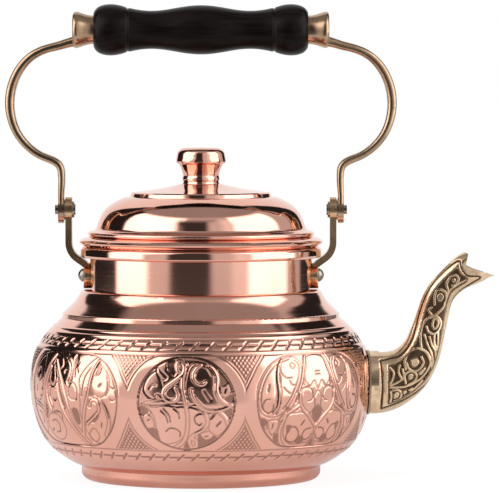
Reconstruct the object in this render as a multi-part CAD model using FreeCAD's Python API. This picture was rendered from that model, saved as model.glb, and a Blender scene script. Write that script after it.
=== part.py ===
import FreeCAD, Part

# Engraved copper kettle with a cast brass spout and a bail handle, in millimetres.
# +Z is up, the spout points along +X, and the origin is the middle of the flat foot.
# Every piece is its own closed solid and is written to parts/NAME.step.

import math
import os

from FreeCAD import Vector

# Clearances between pieces
solder_gap = 0.05          # between two pieces that are soldered or screwed together
rest_gap = 0.3             # between the lid and the rim that it rests on
pivot_play = 0.05          # radial play of the bail on its pivot pins
side_play = 0.15           # play along the pivot pins, on each side of the bail
shank_play = 0.03          # radial play of screws, rivets and the rod in their holes
cut_overrun = 30.0         # how far a cutting shape runs past what it cuts
same_place = 0.0001        # two ends of an outline nearer than this are one point

# Base pan
foot_radius = 59.75
foot_height = 6.95
foot_bend = 4.0
base_sheet = 1.0

# Belly, raised from sheet, soldered into the base pan and under the neck piece
belly_radius = 85.2
belly_widest = 45.0
belly_sheet = 1.0
belly_low_shares = ((0.20, 0.058), (0.437, 0.158), (0.636, 0.27), (0.79, 0.43), (0.92, 0.655))
belly_high_shares = ((0.04, 0.37), (0.13, 0.52), (0.27, 0.635), (0.50, 0.785), (0.80, 0.92))

# Neck piece: a lap over the belly, a flared shoulder with a rounded step, and the straight neck
lap_radius = 69.2
lap_bottom = 81.0
lap_height = 2.35
lap_round = 0.6
lap_play = 0.3
neck_sheet = 1.0
neck_radius = 55.5
shoulder_height = 11.4
neck_height = 21.05
shoulder_shares = (
    (0.855, 0.162), (0.735, 0.294), (0.618, 0.425), (0.527, 0.557), (0.450, 0.689), (0.389, 0.820),
    (0.345, 0.915), (0.26, 0.975), (0.13, 0.996))

# Rolled rim: a copper channel closed over a steel wire
rim_width = 4.75
rim_height = 5.15
rim_round = 1.4
rim_sheet = 0.8

# Spout: a hollow casting, told by pairs of points on its upper and lower edge
spout_inset = 1.2
spout_height = 48.0
spout_reach = 63.6
spout_rise = 65.2
spout_base_width = 27.2
spout_wall = 1.7
spout_bore_radius = 10.5
spout_corner_share = 0.42
spout_upper_shares = (
    (-0.080, 0.226), (0.020, 0.232), (0.110, 0.230), (0.201, 0.248), (0.261, 0.293), (0.302, 0.353),
    (0.332, 0.426), (0.365, 0.509), (0.399, 0.607), (0.450, 0.718), (0.524, 0.810), (0.613, 0.900),
    (0.731, 0.991), (0.841, 1.051))
spout_lower_shares = (
    (-0.080, -0.238), (0.020, -0.239), (0.110, -0.233), (0.291, -0.163), (0.437, -0.038), (0.533, 0.127),
    (0.574, 0.265), (0.599, 0.382), (0.626, 0.511), (0.659, 0.624), (0.714, 0.690), (0.797, 0.738),
    (0.904, 0.782), (1.0, 0.816))
spout_width_shares = (
    1.0, 0.98, 0.94, 0.86, 0.78, 0.69, 0.61, 0.55, 0.505, 0.495, 0.50, 0.49, 0.42, 0.25)
mouth_shares = (
    (0.75, 1.0), (0.777, 0.986), (0.759, 0.909), (0.770, 0.893), (0.833, 0.866), (1.0, 0.816))
collar_height = 31.4
collar_margin = 0.7
collar_depth = 2.6
seat_thickness = 0.9
seat_margin = 0.5

# Lid: flange with a hem, bead, dome, step and crown
lid_sheet = 1.0
flange_overhang = 0.75
flange_rise = 2.5
brim_width = 8.6
dome_foot_rise = 9.5
dome_top_radius = 35.4
dome_top_rise = 24.9
crown_radius = 34.2
crown_rise = 27.05
knob_seat_radius = 10.0
knob_seat_rise = 31.2
bead_shares = (
    (0.0, 1.0), (0.093, 0.857), (0.29, 0.757), (0.477, 0.629), (0.465, 0.471), (0.337, 0.393))
brim_shares = ((0.337, 0.393), (0.593, 0.30), (0.884, 0.143), (1.0, 0.0))
hem_shares = ((0.977, 0.8), (0.72, 0.0), (0.56, 0.0), (0.56, 0.34), (0.80, 0.98))
brim_under_share = (0.30, 0.25)
dome_shares = (
    (1.0, 0.0), (0.93, 0.22), (0.81, 0.49), (0.712, 0.623), (0.565, 0.753), (0.359, 0.883),
    (0.153, 0.978), (0.0, 1.0))
step_shares = ((1.0, 0.0), (0.6, 0.74), (0.0, 1.0))
crown_shares = ((1.0, 0.0), (0.744, 0.18), (0.434, 0.46), (0.165, 0.76), (0.0, 1.0))

# Locating collar under the lid
lid_collar_play = 0.6
lid_collar_sheet = 0.9
lid_collar_drop = 8.1

# Knob, its screw and washer
knob_radius = 12.45
knob_height = 18.1
knob_foot_shares = ((0.755, 0.0), (0.723, 0.058))
knob_bead_shares = ((0.723, 0.058), (0.751, 0.144), (0.723, 0.227))
knob_stem_shares = ((0.723, 0.227), (0.747, 0.315), (0.82, 0.453), (0.884, 0.54))
knob_head_shares = (
    (0.985, 0.575), (1.0, 0.61), (0.977, 0.757), (0.932, 0.878), (0.82, 0.956), (0.48, 0.992),
    (0.0, 1.0))
screw_radius = 2.0
screw_depth = 11.0
screw_head_radius = 3.8
screw_head_height = 2.4
screw_slot_width = 0.9
screw_slot_depth = 1.1
knob_washer_radius = 6.0
knob_washer_thickness = 0.8

# Ears: cast straps, each with a curved pad on the neck and an eye for the pivot
pivot_rise = 18.6          # above the neck's top
ear_stand = 10.5           # out from the neck's wall
ear_thickness = 3.2
ear_eye_radius = 6.2
ear_root_rise = 3.8
ear_slope = 35.0
ear_low_bend = 3.0
ear_high_bend = 10.0
ear_half_width_shares = ((1.02, -0.98), (0.86, -0.72), (0.76, -0.43), (0.79, -0.23))
ear_eye_start = -35.0      # where the round eye leaves the strap's edge, in degrees
pad_width = 19.0
pad_height = 12.8
pad_rise = 6.65            # above the neck's foot

# Rivets through the pads, with burrs inside the neck
rivet_radius = 1.7
rivet_head_radius = 3.5
rivet_head_height = 2.7
rivet_rise = 0.2
burr_radius = 3.3
burr_thickness = 0.8
rivet_tail_radius = 2.5
rivet_tail_height = 0.7

# Pivot pins with their washers
pin_radius = 2.0
pin_head_radius = 2.3
pin_head_height = 1.5
pin_tail_radius = 2.8
pin_tail_height = 0.6
washer_radius = 4.1
washer_thickness = 1.1
spacer_radius = 5.2
spacer_thickness = 0.6

# Bail arms: cast straps of rounded section, told by the middle line from the pivot out to the
# widest place, and from there back into the boss
arm_end_thickness = 2.9
arm_end_width = 13.0
arm_eye_radius = 6.8
arm_straight = 6.6         # how far above the pivot the bends begin
arm_bow = 25.4
arm_corner_share = 0.44
arm_seat = 3.65            # how far into the boss the middle line runs
arm_out_shares = (
    (0.0, 0.0), (-0.006, 0.041), (-0.013, 0.083), (-0.010, 0.137), (0.030, 0.184), (0.150, 0.214),
    (0.366, 0.241), (0.640, 0.297), (0.856, 0.378), (0.978, 0.477), (1.006, 0.578))
arm_back_shares = (
    (0.963, 0.678), (0.863, 0.771), (0.703, 0.846), (0.497, 0.889), (0.348, 0.906), (0.231, 0.922),
    (0.0, 0.942))
arm_thickness_shares = (
    1.0, 1.06, 1.12, 1.20, 1.32, 1.36, 1.34, 1.36, 1.42, 1.52, 1.60, 1.61, 1.57, 1.49, 1.45, 1.50,
    1.62, 1.38)
arm_width_shares = (
    0.96, 0.945, 0.93, 0.90, 0.87, 0.84, 0.80, 0.76, 0.73, 0.71, 0.69, 0.69, 0.70, 0.72, 0.75, 0.77,
    0.79, 0.80)
arm_start = (0.0, 1.0)     # heading of the arm where the bends begin, across and up
arm_end = (-1.0, 0.15)     # and inside the boss

# Boss of an arm, turned about the grip's axis
boss_length = 10.4
boss_radius = 9.1
boss_shares = (
    (0.0, 0.79), (0.28, 0.82), (0.52, 0.90), (0.74, 0.985), (0.85, 1.0), (0.95, 0.95), (1.0, 0.82))

# Grip, turned from dark wood, and the rod through it
bail_rise = 89.7           # the grip's axis above the pivots
grip_length = 107.0
grip_radius = 12.8
grip_end_shares = (
    (1.0, 0.66), (0.985, 0.78), (0.96, 0.88), (0.92, 0.955), (0.84, 1.0), (0.76, 0.96), (0.70, 0.885))
grip_groove_share = (0.683, 0.825)
grip_waist_shares = (
    (0.666, 0.855), (0.60, 0.795), (0.46, 0.742), (0.33, 0.785), (0.16, 0.905), (0.0, 0.96))
rod_radius = 2.5
rod_thread_length = 8.0

# Sizes that follow from the ones above
lap_top = lap_bottom + lap_height
neck_foot = lap_top + shoulder_height
neck_top = neck_foot + neck_height
rim_radius = neck_radius + rim_width
spout_root = belly_radius - spout_inset
collar_width = spout_base_width + collar_margin * 2
lid_seat = neck_top + rest_gap
flange_radius = rim_radius + flange_overhang
dome_foot_radius = flange_radius - brim_width
lid_collar_radius = neck_radius - neck_sheet - lid_collar_play
pad_middle = neck_foot + pad_rise
pad_inside = neck_radius + solder_gap
pad_outside = pad_inside + ear_thickness
rivet_height = pad_middle + rivet_rise
ear_root = pad_middle + ear_root_rise
pivot_height = neck_top + pivot_rise
grip_height = pivot_height + bail_rise
ear_reach = neck_radius + ear_stand
ear_inside = ear_reach - ear_thickness / 2
ear_outside = ear_reach + ear_thickness / 2
arm_inside = ear_outside + spacer_thickness + side_play
arm_outside = arm_inside + arm_end_thickness
pivot_middle = arm_inside + arm_end_thickness / 2
boss_face = grip_length / 2 + solder_gap
origin = Vector(0, 0, 0)
along_x = Vector(1, 0, 0)
along_y = Vector(0, 1, 0)
along_z = Vector(0, 0, 1)


def at(x, z):
    return Vector(x, 0, z)


def curved(points, *headings):
    # A smooth curve through the points, with a heading told for both of its ends or for neither.
    curve = Part.BSplineCurve()
    if headings:
        curve.interpolate(list(points), InitialTangent=headings[0], FinalTangent=headings[1])
    else:
        curve.interpolate(list(points))
    return curve


def arc(middle, radius, start, end):
    angles = [math.radians(angle) for angle in (start, (start + end) / 2, end)]
    return Part.Arc(*[middle + at(math.cos(angle), math.sin(angle)) * radius for angle in angles])


def backwards(curve):
    reversed_curve = curve.copy()
    reversed_curve.reverse()
    return reversed_curve


def shifted(curve, distance, steps=16):
    # The curve moved to its left by a distance, seen with X to the right and Z up.
    points = []
    for step in range(steps + 1):
        parameter = curve.FirstParameter + (curve.LastParameter - curve.FirstParameter) * step / steps
        heading = curve.tangent(parameter)[0]
        points.append(curve.value(parameter) + at(-heading.z, heading.x) * distance)
    return curved(points)


def between(start, end, shares):
    # Places told by their shares of the way from start to end, across and up.
    return [at(start.x + (end.x - start.x) * x, start.z + (end.z - start.z) * z) for x, z in shares]


def ends_of(stretch):
    if isinstance(stretch, list):
        return stretch[0], stretch[-1]
    return stretch.StartPoint, stretch.EndPoint


def outline(*stretches):
    # A face inside straight and curved stretches, with straight lines where two of them are apart.
    edges = []
    for index, stretch in enumerate(stretches):
        if isinstance(stretch, list):
            edges += [Part.LineSegment(a, b).toShape() for a, b in zip(stretch, stretch[1:])]
        else:
            edges.append(stretch.toShape())
        end = ends_of(stretch)[1]
        start = ends_of(stretches[(index + 1) % len(stretches)])[0]
        if not end.isEqual(start, same_place):
            edges.append(Part.LineSegment(end, start).toShape())
    return Part.Face(Part.Wire(edges))


def spun(face):
    return face.revolve(origin, along_z, 360)


def spun_about_x(face, height):
    return face.revolve(at(0, height), along_x, 360)


def rod_along_x(radius, start, end, height):
    return Part.makeCylinder(radius, end - start, at(start, height), along_x)


def plate_along_x(face, start, end):
    # An outline told as (y, z), standing across X, made solid from start to end.
    standing = face.copy()
    standing.rotate(origin, along_z, 90)
    standing.translate(at(start, 0))
    return standing.extrude(at(end - start, 0))


def oval_along_x(width, height, middle_height, start, end):
    middle = at(0, middle_height)
    if width > height:
        oval = Part.Ellipse(middle + at(width / 2, 0), middle + at(0, height / 2), middle)
    else:
        oval = Part.Ellipse(middle + at(0, height / 2), middle + at(width / 2, 0), middle)
    return plate_along_x(Part.Face(Part.Wire([oval.toShape()])), start, end)


def mirrored(shape):
    return shape.mirror(origin, along_x)


def base_pan():
    bend_middle = at(foot_radius - foot_bend, foot_bend)
    return spun(outline(
        [at(0, 0), at(foot_radius - foot_bend, 0)],
        arc(bend_middle, foot_bend, -90, 0),
        [at(foot_radius, foot_bend), at(foot_radius, foot_height),
         at(foot_radius - base_sheet, foot_height), at(foot_radius - base_sheet, foot_bend)],
        backwards(arc(bend_middle, foot_bend - base_sheet, -90, 0)),
        [at(foot_radius - foot_bend, base_sheet), at(0, base_sheet)]))


def belly_curve():
    foot = at(foot_radius, foot_height + solder_gap)
    widest = at(belly_radius, belly_widest)
    lap = at(lap_radius, lap_bottom)
    low = between(foot, widest, belly_low_shares)
    high = between(widest, lap, belly_high_shares)
    return curved([foot] + low + [widest] + high + [lap])


def belly_shell():
    wall = belly_curve()
    skirt = foot_radius - base_sheet - solder_gap
    tuck = lap_radius - neck_sheet - solder_gap
    tuck_top = lap_top - neck_sheet - lap_play
    shell = spun(outline(
        [at(skirt, foot_bend), at(skirt, foot_height + solder_gap)],
        wall,
        [at(tuck, lap_bottom), at(tuck, tuck_top), at(tuck - belly_sheet, tuck_top),
         at(tuck - belly_sheet, lap_bottom - belly_sheet / 2)],
        backwards(shifted(wall, belly_sheet)),
        [at(skirt - belly_sheet, foot_height), at(skirt - belly_sheet, foot_bend)]))
    bore_start = belly_radius - cut_overrun
    bore_end = belly_radius + cut_overrun
    return shell.cut(rod_along_x(spout_bore_radius, bore_start, bore_end, spout_height))


def around_belly(distance):
    # Everything inside the belly's outer face, grown by a distance.
    wall = shifted(belly_curve(), -distance)
    start, end = ends_of(wall)
    return spun(outline([at(0, start.z), start], wall, [end, at(0, end.z)]))


def neck_shell():
    round_middle = at(lap_radius - lap_round, lap_top - lap_round)
    corner = at(lap_radius - lap_round, lap_top)
    shoulder_frame = at(neck_radius, lap_top), at(lap_radius - lap_round, neck_foot)
    shoulder_shape = between(*shoulder_frame, shoulder_shares)
    shoulder = curved([corner] + shoulder_shape + [at(neck_radius, neck_foot)])
    lap_start = lap_bottom + solder_gap
    shell = spun(outline(
        [at(lap_radius, lap_start), at(lap_radius, lap_top - lap_round)],
        arc(round_middle, lap_round, 0, 90),
        shoulder,
        [at(neck_radius, neck_foot), at(neck_radius, neck_top), at(neck_radius - neck_sheet, neck_top),
         at(neck_radius - neck_sheet, neck_foot - neck_sheet / 2)],
        backwards(shifted(shoulder, neck_sheet)),
        [at(lap_radius - neck_sheet, lap_top - neck_sheet), at(lap_radius - neck_sheet, lap_start)]))
    return shell.cut(rod_along_x(rivet_radius + shank_play, -rim_radius, rim_radius, rivet_height))


def rim_band():
    inside = neck_radius + solder_gap
    bottom = neck_top - rim_height
    low_middle = at(rim_radius - rim_round, bottom + rim_round)
    high_middle = at(rim_radius - rim_round, neck_top - rim_round)
    return spun(outline(
        [at(inside, bottom), at(rim_radius - rim_round, bottom)],
        arc(low_middle, rim_round, -90, 0),
        arc(high_middle, rim_round, 0, 90),
        [at(rim_radius - rim_round, neck_top), at(inside, neck_top), at(inside, neck_top - rim_sheet)],
        backwards(arc(high_middle, rim_round - rim_sheet, 0, 90)),
        backwards(arc(low_middle, rim_round - rim_sheet, -90, 0)),
        [at(rim_radius - rim_round, bottom + rim_sheet), at(inside, bottom + rim_sheet)]))


def rim_wire():
    wire_radius = rim_height / 2 - rim_sheet - solder_gap
    ring_radius = rim_radius - rim_sheet - solder_gap - wire_radius
    return Part.makeTorus(ring_radius, wire_radius, at(0, neck_top - rim_height / 2))


def rounded_section(middle, up, tall, wide, corner):
    # A closed section with round corners, as tall as told along up and as wide as told along Y.
    def place(height, side):
        return middle + up * height + along_y * side

    def bend(height, side, start):
        angles = [math.radians(angle) for angle in (start, start + 45, start + 90)]
        turns = [(corner * math.cos(angle), corner * math.sin(angle)) for angle in angles]
        return Part.Arc(*[place(height + rise, side + reach) for rise, reach in turns])

    high = tall / 2 - corner
    far = wide / 2 - corner
    bends = [bend(high, far, 0), bend(-high, far, 90), bend(-high, -far, 180), bend(high, -far, 270)]
    edges = []
    for this, following in zip(bends, bends[1:] + bends[:1]):
        edges += [this.toShape(), Part.LineSegment(this.EndPoint, following.StartPoint).toShape()]
    return Part.Wire(edges)


def skinned(line, sections):
    # A solid through sections that stand along a line in the plane of X and Z.
    skin = Part.BRepOffsetAPI.MakePipeShell(Part.Wire([line.toShape()]))
    skin.setBiNormalMode(along_y)
    for section in sections:
        skin.add(section)
    skin.build()
    skin.makeSolid()
    return skin.shape()


def spout_places(shares):
    return [at(spout_root + spout_reach * x, spout_height + spout_rise * z) for x, z in shares]


def spout_form(inset):
    middles = []
    sections = []
    uppers = spout_places(spout_upper_shares)
    lowers = spout_places(spout_lower_shares)
    for upper, lower, width_share in zip(uppers, lowers, spout_width_shares):
        up = upper - lower
        tall = up.Length - inset * 2
        wide = spout_base_width * width_share - inset * 2
        corner = min(tall, wide) * spout_corner_share
        middles.append((upper + lower) / 2)
        sections.append(rounded_section(middles[-1], up.normalize(), tall, wide, corner))
    return skinned(curved(middles), sections)


def spout():
    collar_start = belly_radius - cut_overrun / 2
    collar_end = belly_radius + seat_thickness + collar_depth
    collar = oval_along_x(collar_width, collar_height, spout_height, collar_start, collar_end)
    body = spout_form(0).fuse(collar).cut(around_belly(seat_thickness)).cut(spout_form(spout_wall))
    mouth = spout_places(mouth_shares)
    beyond = mouth[-1].x + cut_overrun
    above = mouth[0].z + cut_overrun
    knife = outline(mouth + [at(beyond, mouth[-1].z), at(beyond, above), at(mouth[0].x, above), mouth[0]])
    knife.translate(along_y * -cut_overrun)
    return body.cut(knife.extrude(along_y * (cut_overrun * 2)))


def spout_seat():
    start = belly_radius - cut_overrun / 2
    end = belly_radius + cut_overrun
    width = collar_width + seat_margin * 2
    height = collar_height + seat_margin * 2
    ring = oval_along_x(width, height, spout_height, start, end)
    bore = rod_along_x(spout_bore_radius, start, end, spout_height)
    sheath = around_belly(seat_thickness - solder_gap).cut(around_belly(solder_gap))
    return ring.cut(bore).common(sheath)


def lid_place(radius, rise):
    return at(radius, lid_seat + rise)


def lid_curves():
    tip = lid_place(flange_radius, flange_rise)
    dome_foot = lid_place(dome_foot_radius, dome_foot_rise)
    brim_frame = at(dome_foot.x, tip.z), at(tip.x, dome_foot.z)
    bead = curved(between(*brim_frame, bead_shares))
    brim = curved(between(*brim_frame, brim_shares))
    dome_frame = lid_place(dome_top_radius, dome_foot_rise), lid_place(dome_foot_radius, dome_top_rise)
    dome = curved(between(*dome_frame, dome_shares))
    step_frame = lid_place(crown_radius, dome_top_rise), lid_place(dome_top_radius, crown_rise)
    step = between(*step_frame, step_shares)
    crown_frame = lid_place(knob_seat_radius, crown_rise), lid_place(crown_radius, knob_seat_rise)
    crown = curved(between(*crown_frame, crown_shares))
    brim_under = between(*brim_frame, [brim_under_share])[0]
    return bead, brim, dome, step, crown, brim_under


def lid_shell():
    bead, brim, dome, step, crown, brim_under = lid_curves()
    hem_frame = lid_place(dome_foot_radius, 0), lid_place(flange_radius, flange_rise)
    hem = between(*hem_frame, hem_shares)
    screw_hole = screw_radius + shank_play
    seat = lid_seat + knob_seat_rise
    # From the screw hole out to the tip over the top, and back along the underside.
    return spun(outline(
        [at(screw_hole, seat), at(knob_seat_radius, seat)],
        backwards(crown),
        step[::-1],
        backwards(dome),
        bead,
        brim,
        hem,
        [brim_under],
        shifted(dome, lid_sheet),
        shifted(crown, lid_sheet),
        [at(screw_hole, seat - lid_sheet), at(screw_hole, seat)]))


def lid_collar():
    bead, brim, dome, step, crown, brim_under = lid_curves()
    dome_under = shifted(dome, lid_sheet).StartPoint
    inside = lid_collar_radius - lid_collar_sheet
    bottom = lid_seat - lid_collar_drop

    def under_lid(radius):
        share = (brim_under.x - radius) / (brim_under.x - dome_under.x)
        return brim_under.z + (dome_under.z - brim_under.z) * share - solder_gap * 2

    return spun(outline([
        at(inside, bottom), at(lid_collar_radius, bottom),
        at(lid_collar_radius, under_lid(lid_collar_radius)),
        at(inside, under_lid(inside)), at(inside, bottom)]))


def lid_knob():
    seat = lid_seat + knob_seat_rise
    frame = at(0, seat), at(knob_radius, seat + knob_height)
    hole = screw_radius + shank_play
    hole_top = seat + screw_depth + solder_gap
    return spun(outline(
        between(*frame, knob_foot_shares),
        curved(between(*frame, knob_bead_shares)),
        curved(between(*frame, knob_stem_shares)),
        curved(between(*frame, knob_head_shares)),
        [at(0, hole_top), at(hole, hole_top), at(hole, seat)]))


def knob_washer():
    top = lid_seat + knob_seat_rise - lid_sheet
    ring = Part.makeCylinder(knob_washer_radius, knob_washer_thickness, at(0, top - knob_washer_thickness))
    return ring.cut(Part.makeCylinder(screw_radius + shank_play, cut_overrun, at(0, top - cut_overrun / 2)))


def knob_screw():
    shelf = lid_seat + knob_seat_rise - lid_sheet - knob_washer_thickness
    shank_top = lid_seat + knob_seat_rise + screw_depth
    head_bottom = shelf - screw_head_height
    head = Part.makeCylinder(screw_head_radius, screw_head_height, at(0, head_bottom))
    shank = Part.makeCylinder(screw_radius, shank_top - shelf, at(0, shelf))
    slot_corner = Vector(-screw_head_radius, -screw_slot_width / 2, head_bottom)
    slot = Part.makeBox(screw_head_radius * 2, screw_slot_width, screw_slot_depth, slot_corner)
    return head.fuse(shank).removeSplitter().cut(slot)


def ear_middle_line():
    # Up from the pad, out under the rim, and up again to the eye.
    slope = math.radians(ear_slope)
    steepness = 90 - ear_slope
    start = at(pad_inside + ear_thickness / 2, ear_root)
    low_middle = start + at(ear_low_bend, 0)
    low_bend = arc(low_middle, ear_low_bend, 180, 180 - steepness)
    low_end = low_bend.EndPoint
    bend_width = ear_high_bend * (1 - math.sin(slope))
    run = ear_reach - bend_width - low_end.x
    high_start = low_end + at(run, run * math.tan(slope))
    high_middle = at(ear_reach - ear_high_bend, high_start.z + ear_high_bend * math.cos(slope))
    high_bend = arc(high_middle, ear_high_bend, -steepness, 0)
    root = Part.LineSegment(at(start.x, ear_root - ear_thickness), start)
    slant = Part.LineSegment(low_end, high_start)
    rise = Part.LineSegment(high_bend.EndPoint, at(ear_reach, pivot_height + ear_eye_radius))
    return Part.Wire([edge.toShape() for edge in (root, low_bend, slant, high_bend, rise)])


def ear():
    line = ear_middle_line()
    start = line.Vertexes[0].Point
    half_width = ear_eye_radius + ear_thickness
    corners = [
        start + at(-ear_thickness / 2, 0) - along_y * half_width,
        start + at(ear_thickness / 2, 0) - along_y * half_width,
        start + at(ear_thickness / 2, 0) + along_y * half_width,
        start + at(-ear_thickness / 2, 0) + along_y * half_width]
    strap = line.makePipeShell([Part.makePolygon(corners + corners[:1])], True, False)
    eye = at(0, pivot_height)
    frame = at(0, pivot_height), at(ear_eye_radius, 2 * pivot_height - ear_root)
    side = [at(point.x, point.z) for point in between(*frame, ear_half_width_shares)]
    top = arc(eye, ear_eye_radius, ear_eye_start, 180 - ear_eye_start)
    right_side = curved(side + [top.StartPoint])
    left_side = curved([top.EndPoint] + [at(-point.x, point.z) for point in side[::-1]])
    shape = plate_along_x(outline(right_side, top, left_side), 0, ear_reach + cut_overrun)
    pad_ring = Part.makeCylinder(pad_outside, neck_top).cut(Part.makeCylinder(pad_inside, neck_top))
    pad = pad_ring.common(oval_along_x(pad_width, pad_height, pad_middle, 0, ear_reach))
    body = strap.common(shape).fuse(pad).removeSplitter()
    eye_hole = rod_along_x(pin_radius + shank_play, 0, ear_reach + cut_overrun, pivot_height)
    rivet_hole = rod_along_x(rivet_radius + shank_play, 0, ear_reach + cut_overrun, rivet_height)
    return body.cut(eye_hole).cut(rivet_hole)


def burr_outside():
    return math.sqrt((neck_radius - neck_sheet) ** 2 - burr_radius ** 2) - solder_gap


def rivet():
    head_base = pad_outside + solder_gap
    tail_top = burr_outside() - burr_thickness
    shank = rod_along_x(rivet_radius, tail_top, head_base, rivet_height)
    tail = rod_along_x(rivet_tail_radius, tail_top - rivet_tail_height, tail_top, rivet_height)
    ball_radius = (rivet_head_radius ** 2 + rivet_head_height ** 2) / (rivet_head_height * 2)
    ball = Part.makeSphere(ball_radius, at(head_base + rivet_head_height - ball_radius, rivet_height))
    head = ball.common(rod_along_x(ball_radius * 2, head_base, head_base + ball_radius, rivet_height))
    return shank.fuse(head).fuse(tail).removeSplitter()


def rivet_burr():
    outside = burr_outside()
    burr = rod_along_x(burr_radius, outside - burr_thickness, outside, rivet_height)
    return burr.cut(rod_along_x(rivet_radius + shank_play, 0, ear_reach, rivet_height))


def pivot_pin():
    washer_end = ear_inside - washer_thickness
    head_base = arm_outside + side_play
    tail = rod_along_x(pin_tail_radius, washer_end - pin_tail_height, washer_end, pivot_height)
    shank = rod_along_x(pin_radius, washer_end, head_base, pivot_height)
    head = rod_along_x(pin_head_radius, head_base, head_base + pin_head_height, pivot_height)
    return tail.fuse(shank).fuse(head).removeSplitter()


def pivot_washer():
    ring = rod_along_x(washer_radius, ear_inside - washer_thickness, ear_inside, pivot_height)
    return ring.cut(rod_along_x(pin_radius + shank_play, 0, ear_reach, pivot_height))


def pivot_spacer():
    ring = rod_along_x(spacer_radius, ear_outside, ear_outside + spacer_thickness, pivot_height)
    return ring.cut(rod_along_x(pin_radius + shank_play, 0, ear_reach + cut_overrun, pivot_height))


def arm_section(middle, heading, thickness_share, width_share):
    tall = arm_end_thickness * thickness_share
    across = at(heading.z, -heading.x)
    return rounded_section(middle, across, tall, arm_end_width * width_share, tall * arm_corner_share)


def arm_strap():
    # The straight part at the pivot and the bends above it.
    low = pivot_height + arm_straight
    widest = at(pivot_middle + arm_bow, grip_height)
    middles = between(at(pivot_middle, low), widest, arm_out_shares)
    middles += between(at(boss_face + arm_seat, low), widest, arm_back_shares)
    line = curved(middles, at(*arm_start), at(*arm_end))
    sections = []
    for middle, thickness_share, width_share in zip(middles, arm_thickness_shares, arm_width_shares):
        heading = line.tangent(line.parameter(middle))[0]
        sections.append(arm_section(middle, heading, thickness_share, width_share))
    foot = Part.Face(sections[0]).extrude(at(0, -arm_straight))
    return skinned(line, sections).fuse(foot)


def arm_boss():
    frame = at(boss_face, grip_height), at(boss_face + boss_length, grip_height + boss_radius)
    side = curved(between(*frame, boss_shares))
    start, end = ends_of(side)
    profile = outline([at(start.x, grip_height), start], side, [end, at(end.x, grip_height)])
    return spun_about_x(profile, grip_height)


def bail_arm():
    eye = rod_along_x(arm_eye_radius, arm_inside, arm_outside, pivot_height)
    body = arm_strap().fuse(eye).fuse(arm_boss()).removeSplitter()
    grip_space = rod_along_x(grip_radius + cut_overrun, 0, boss_face, grip_height)
    thread_end = boss_face + rod_thread_length + solder_gap
    thread = rod_along_x(rod_radius + shank_play, 0, thread_end, grip_height)
    pivot_hole = rod_along_x(pin_radius + pivot_play, 0, arm_outside + cut_overrun, pivot_height)
    return body.cut(grip_space).cut(thread).cut(pivot_hole)


def grip():
    half = grip_length / 2
    frame = at(0, grip_height), at(half, grip_height + grip_radius)
    bulb = curved(between(*frame, grip_end_shares))
    groove = between(*frame, [grip_groove_share])
    waist_points = between(*frame, grip_waist_shares)
    waist = curved(waist_points + [at(-point.x, point.z) for point in waist_points[-2::-1]])
    other_bulb = curved([at(-point.x, point.z) for point in between(*frame, grip_end_shares)[::-1]])
    hole = grip_height + rod_radius + shank_play
    profile = outline(
        [at(half, hole), bulb.StartPoint], bulb, groove, waist, [at(-groove[0].x, groove[0].z)], other_bulb,
        [at(-half, hole), at(half, hole)])
    return spun_about_x(profile, grip_height)


def grip_rod():
    reach = boss_face + rod_thread_length
    return rod_along_x(rod_radius, -reach, reach, grip_height)


def main():
    os.makedirs("parts", exist_ok=True)
    pieces = {
        "base_pan": base_pan(),
        "belly_shell": belly_shell(),
        "neck_shell": neck_shell(),
        "rim_band": rim_band(),
        "rim_wire": rim_wire(),
        "spout": spout(),
        "spout_seat": spout_seat(),
        "lid_shell": lid_shell(),
        "lid_collar": lid_collar(),
        "lid_knob": lid_knob(),
        "knob_washer": knob_washer(),
        "knob_screw": knob_screw(),
        "grip": grip(),
        "grip_rod": grip_rod(),
    }
    makers = {
        "ear": ear,
        "ear_rivet": rivet,
        "rivet_burr": rivet_burr,
        "pivot_pin": pivot_pin,
        "pivot_washer": pivot_washer,
        "pivot_spacer": pivot_spacer,
        "bail_arm": bail_arm,
    }
    for name, make in makers.items():
        pieces[name + "_right"] = make()
        pieces[name + "_left"] = mirrored(make())
    for name, piece in pieces.items():
        solids = piece.Solids
        shape = solids[0] if len(solids) == 1 else Part.makeCompound(solids)
        print(name, "solids", len(solids), "valid", shape.isValid(), "volume", round(shape.Volume, 1))
        shape.exportStep("parts/" + name + ".step")


main()
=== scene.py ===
"""Looks of the engraved copper kettle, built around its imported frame.

Everything is in metres in the frame's axes: +Z is up, the spout points along +X, and the camera looks
along +Y. Sizes in the carving are in millimetres, and are turned to metres where a mesh is made.
"""

import math

import bmesh
import bpy
import numpy as np
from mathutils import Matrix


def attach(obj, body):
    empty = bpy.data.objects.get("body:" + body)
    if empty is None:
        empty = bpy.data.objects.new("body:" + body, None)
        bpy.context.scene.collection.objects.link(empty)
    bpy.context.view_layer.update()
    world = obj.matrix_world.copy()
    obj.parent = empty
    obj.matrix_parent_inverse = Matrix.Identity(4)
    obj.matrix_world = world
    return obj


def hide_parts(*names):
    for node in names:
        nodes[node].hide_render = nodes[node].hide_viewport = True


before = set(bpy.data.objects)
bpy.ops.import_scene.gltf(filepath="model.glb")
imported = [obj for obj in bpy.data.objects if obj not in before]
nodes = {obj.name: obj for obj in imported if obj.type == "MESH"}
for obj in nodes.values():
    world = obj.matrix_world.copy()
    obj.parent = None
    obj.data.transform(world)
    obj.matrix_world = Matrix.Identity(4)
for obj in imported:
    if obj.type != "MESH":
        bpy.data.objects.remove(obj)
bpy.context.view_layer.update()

MM = 0.001


# Shader helpers

def node(tree, kind, inputs=None, **settings):
    made = tree.nodes.new("ShaderNode" + kind)
    for key, value in settings.items():
        setattr(made, key, value)
    for key, value in (inputs or {}).items():
        if isinstance(value, bpy.types.NodeSocket):
            tree.links.new(value, made.inputs[key])
        else:
            made.inputs[key].default_value = value
    return made


def math_node(tree, operation, *values):
    return node(tree, "Math", dict(enumerate(values)), operation=operation).outputs[0]


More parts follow.
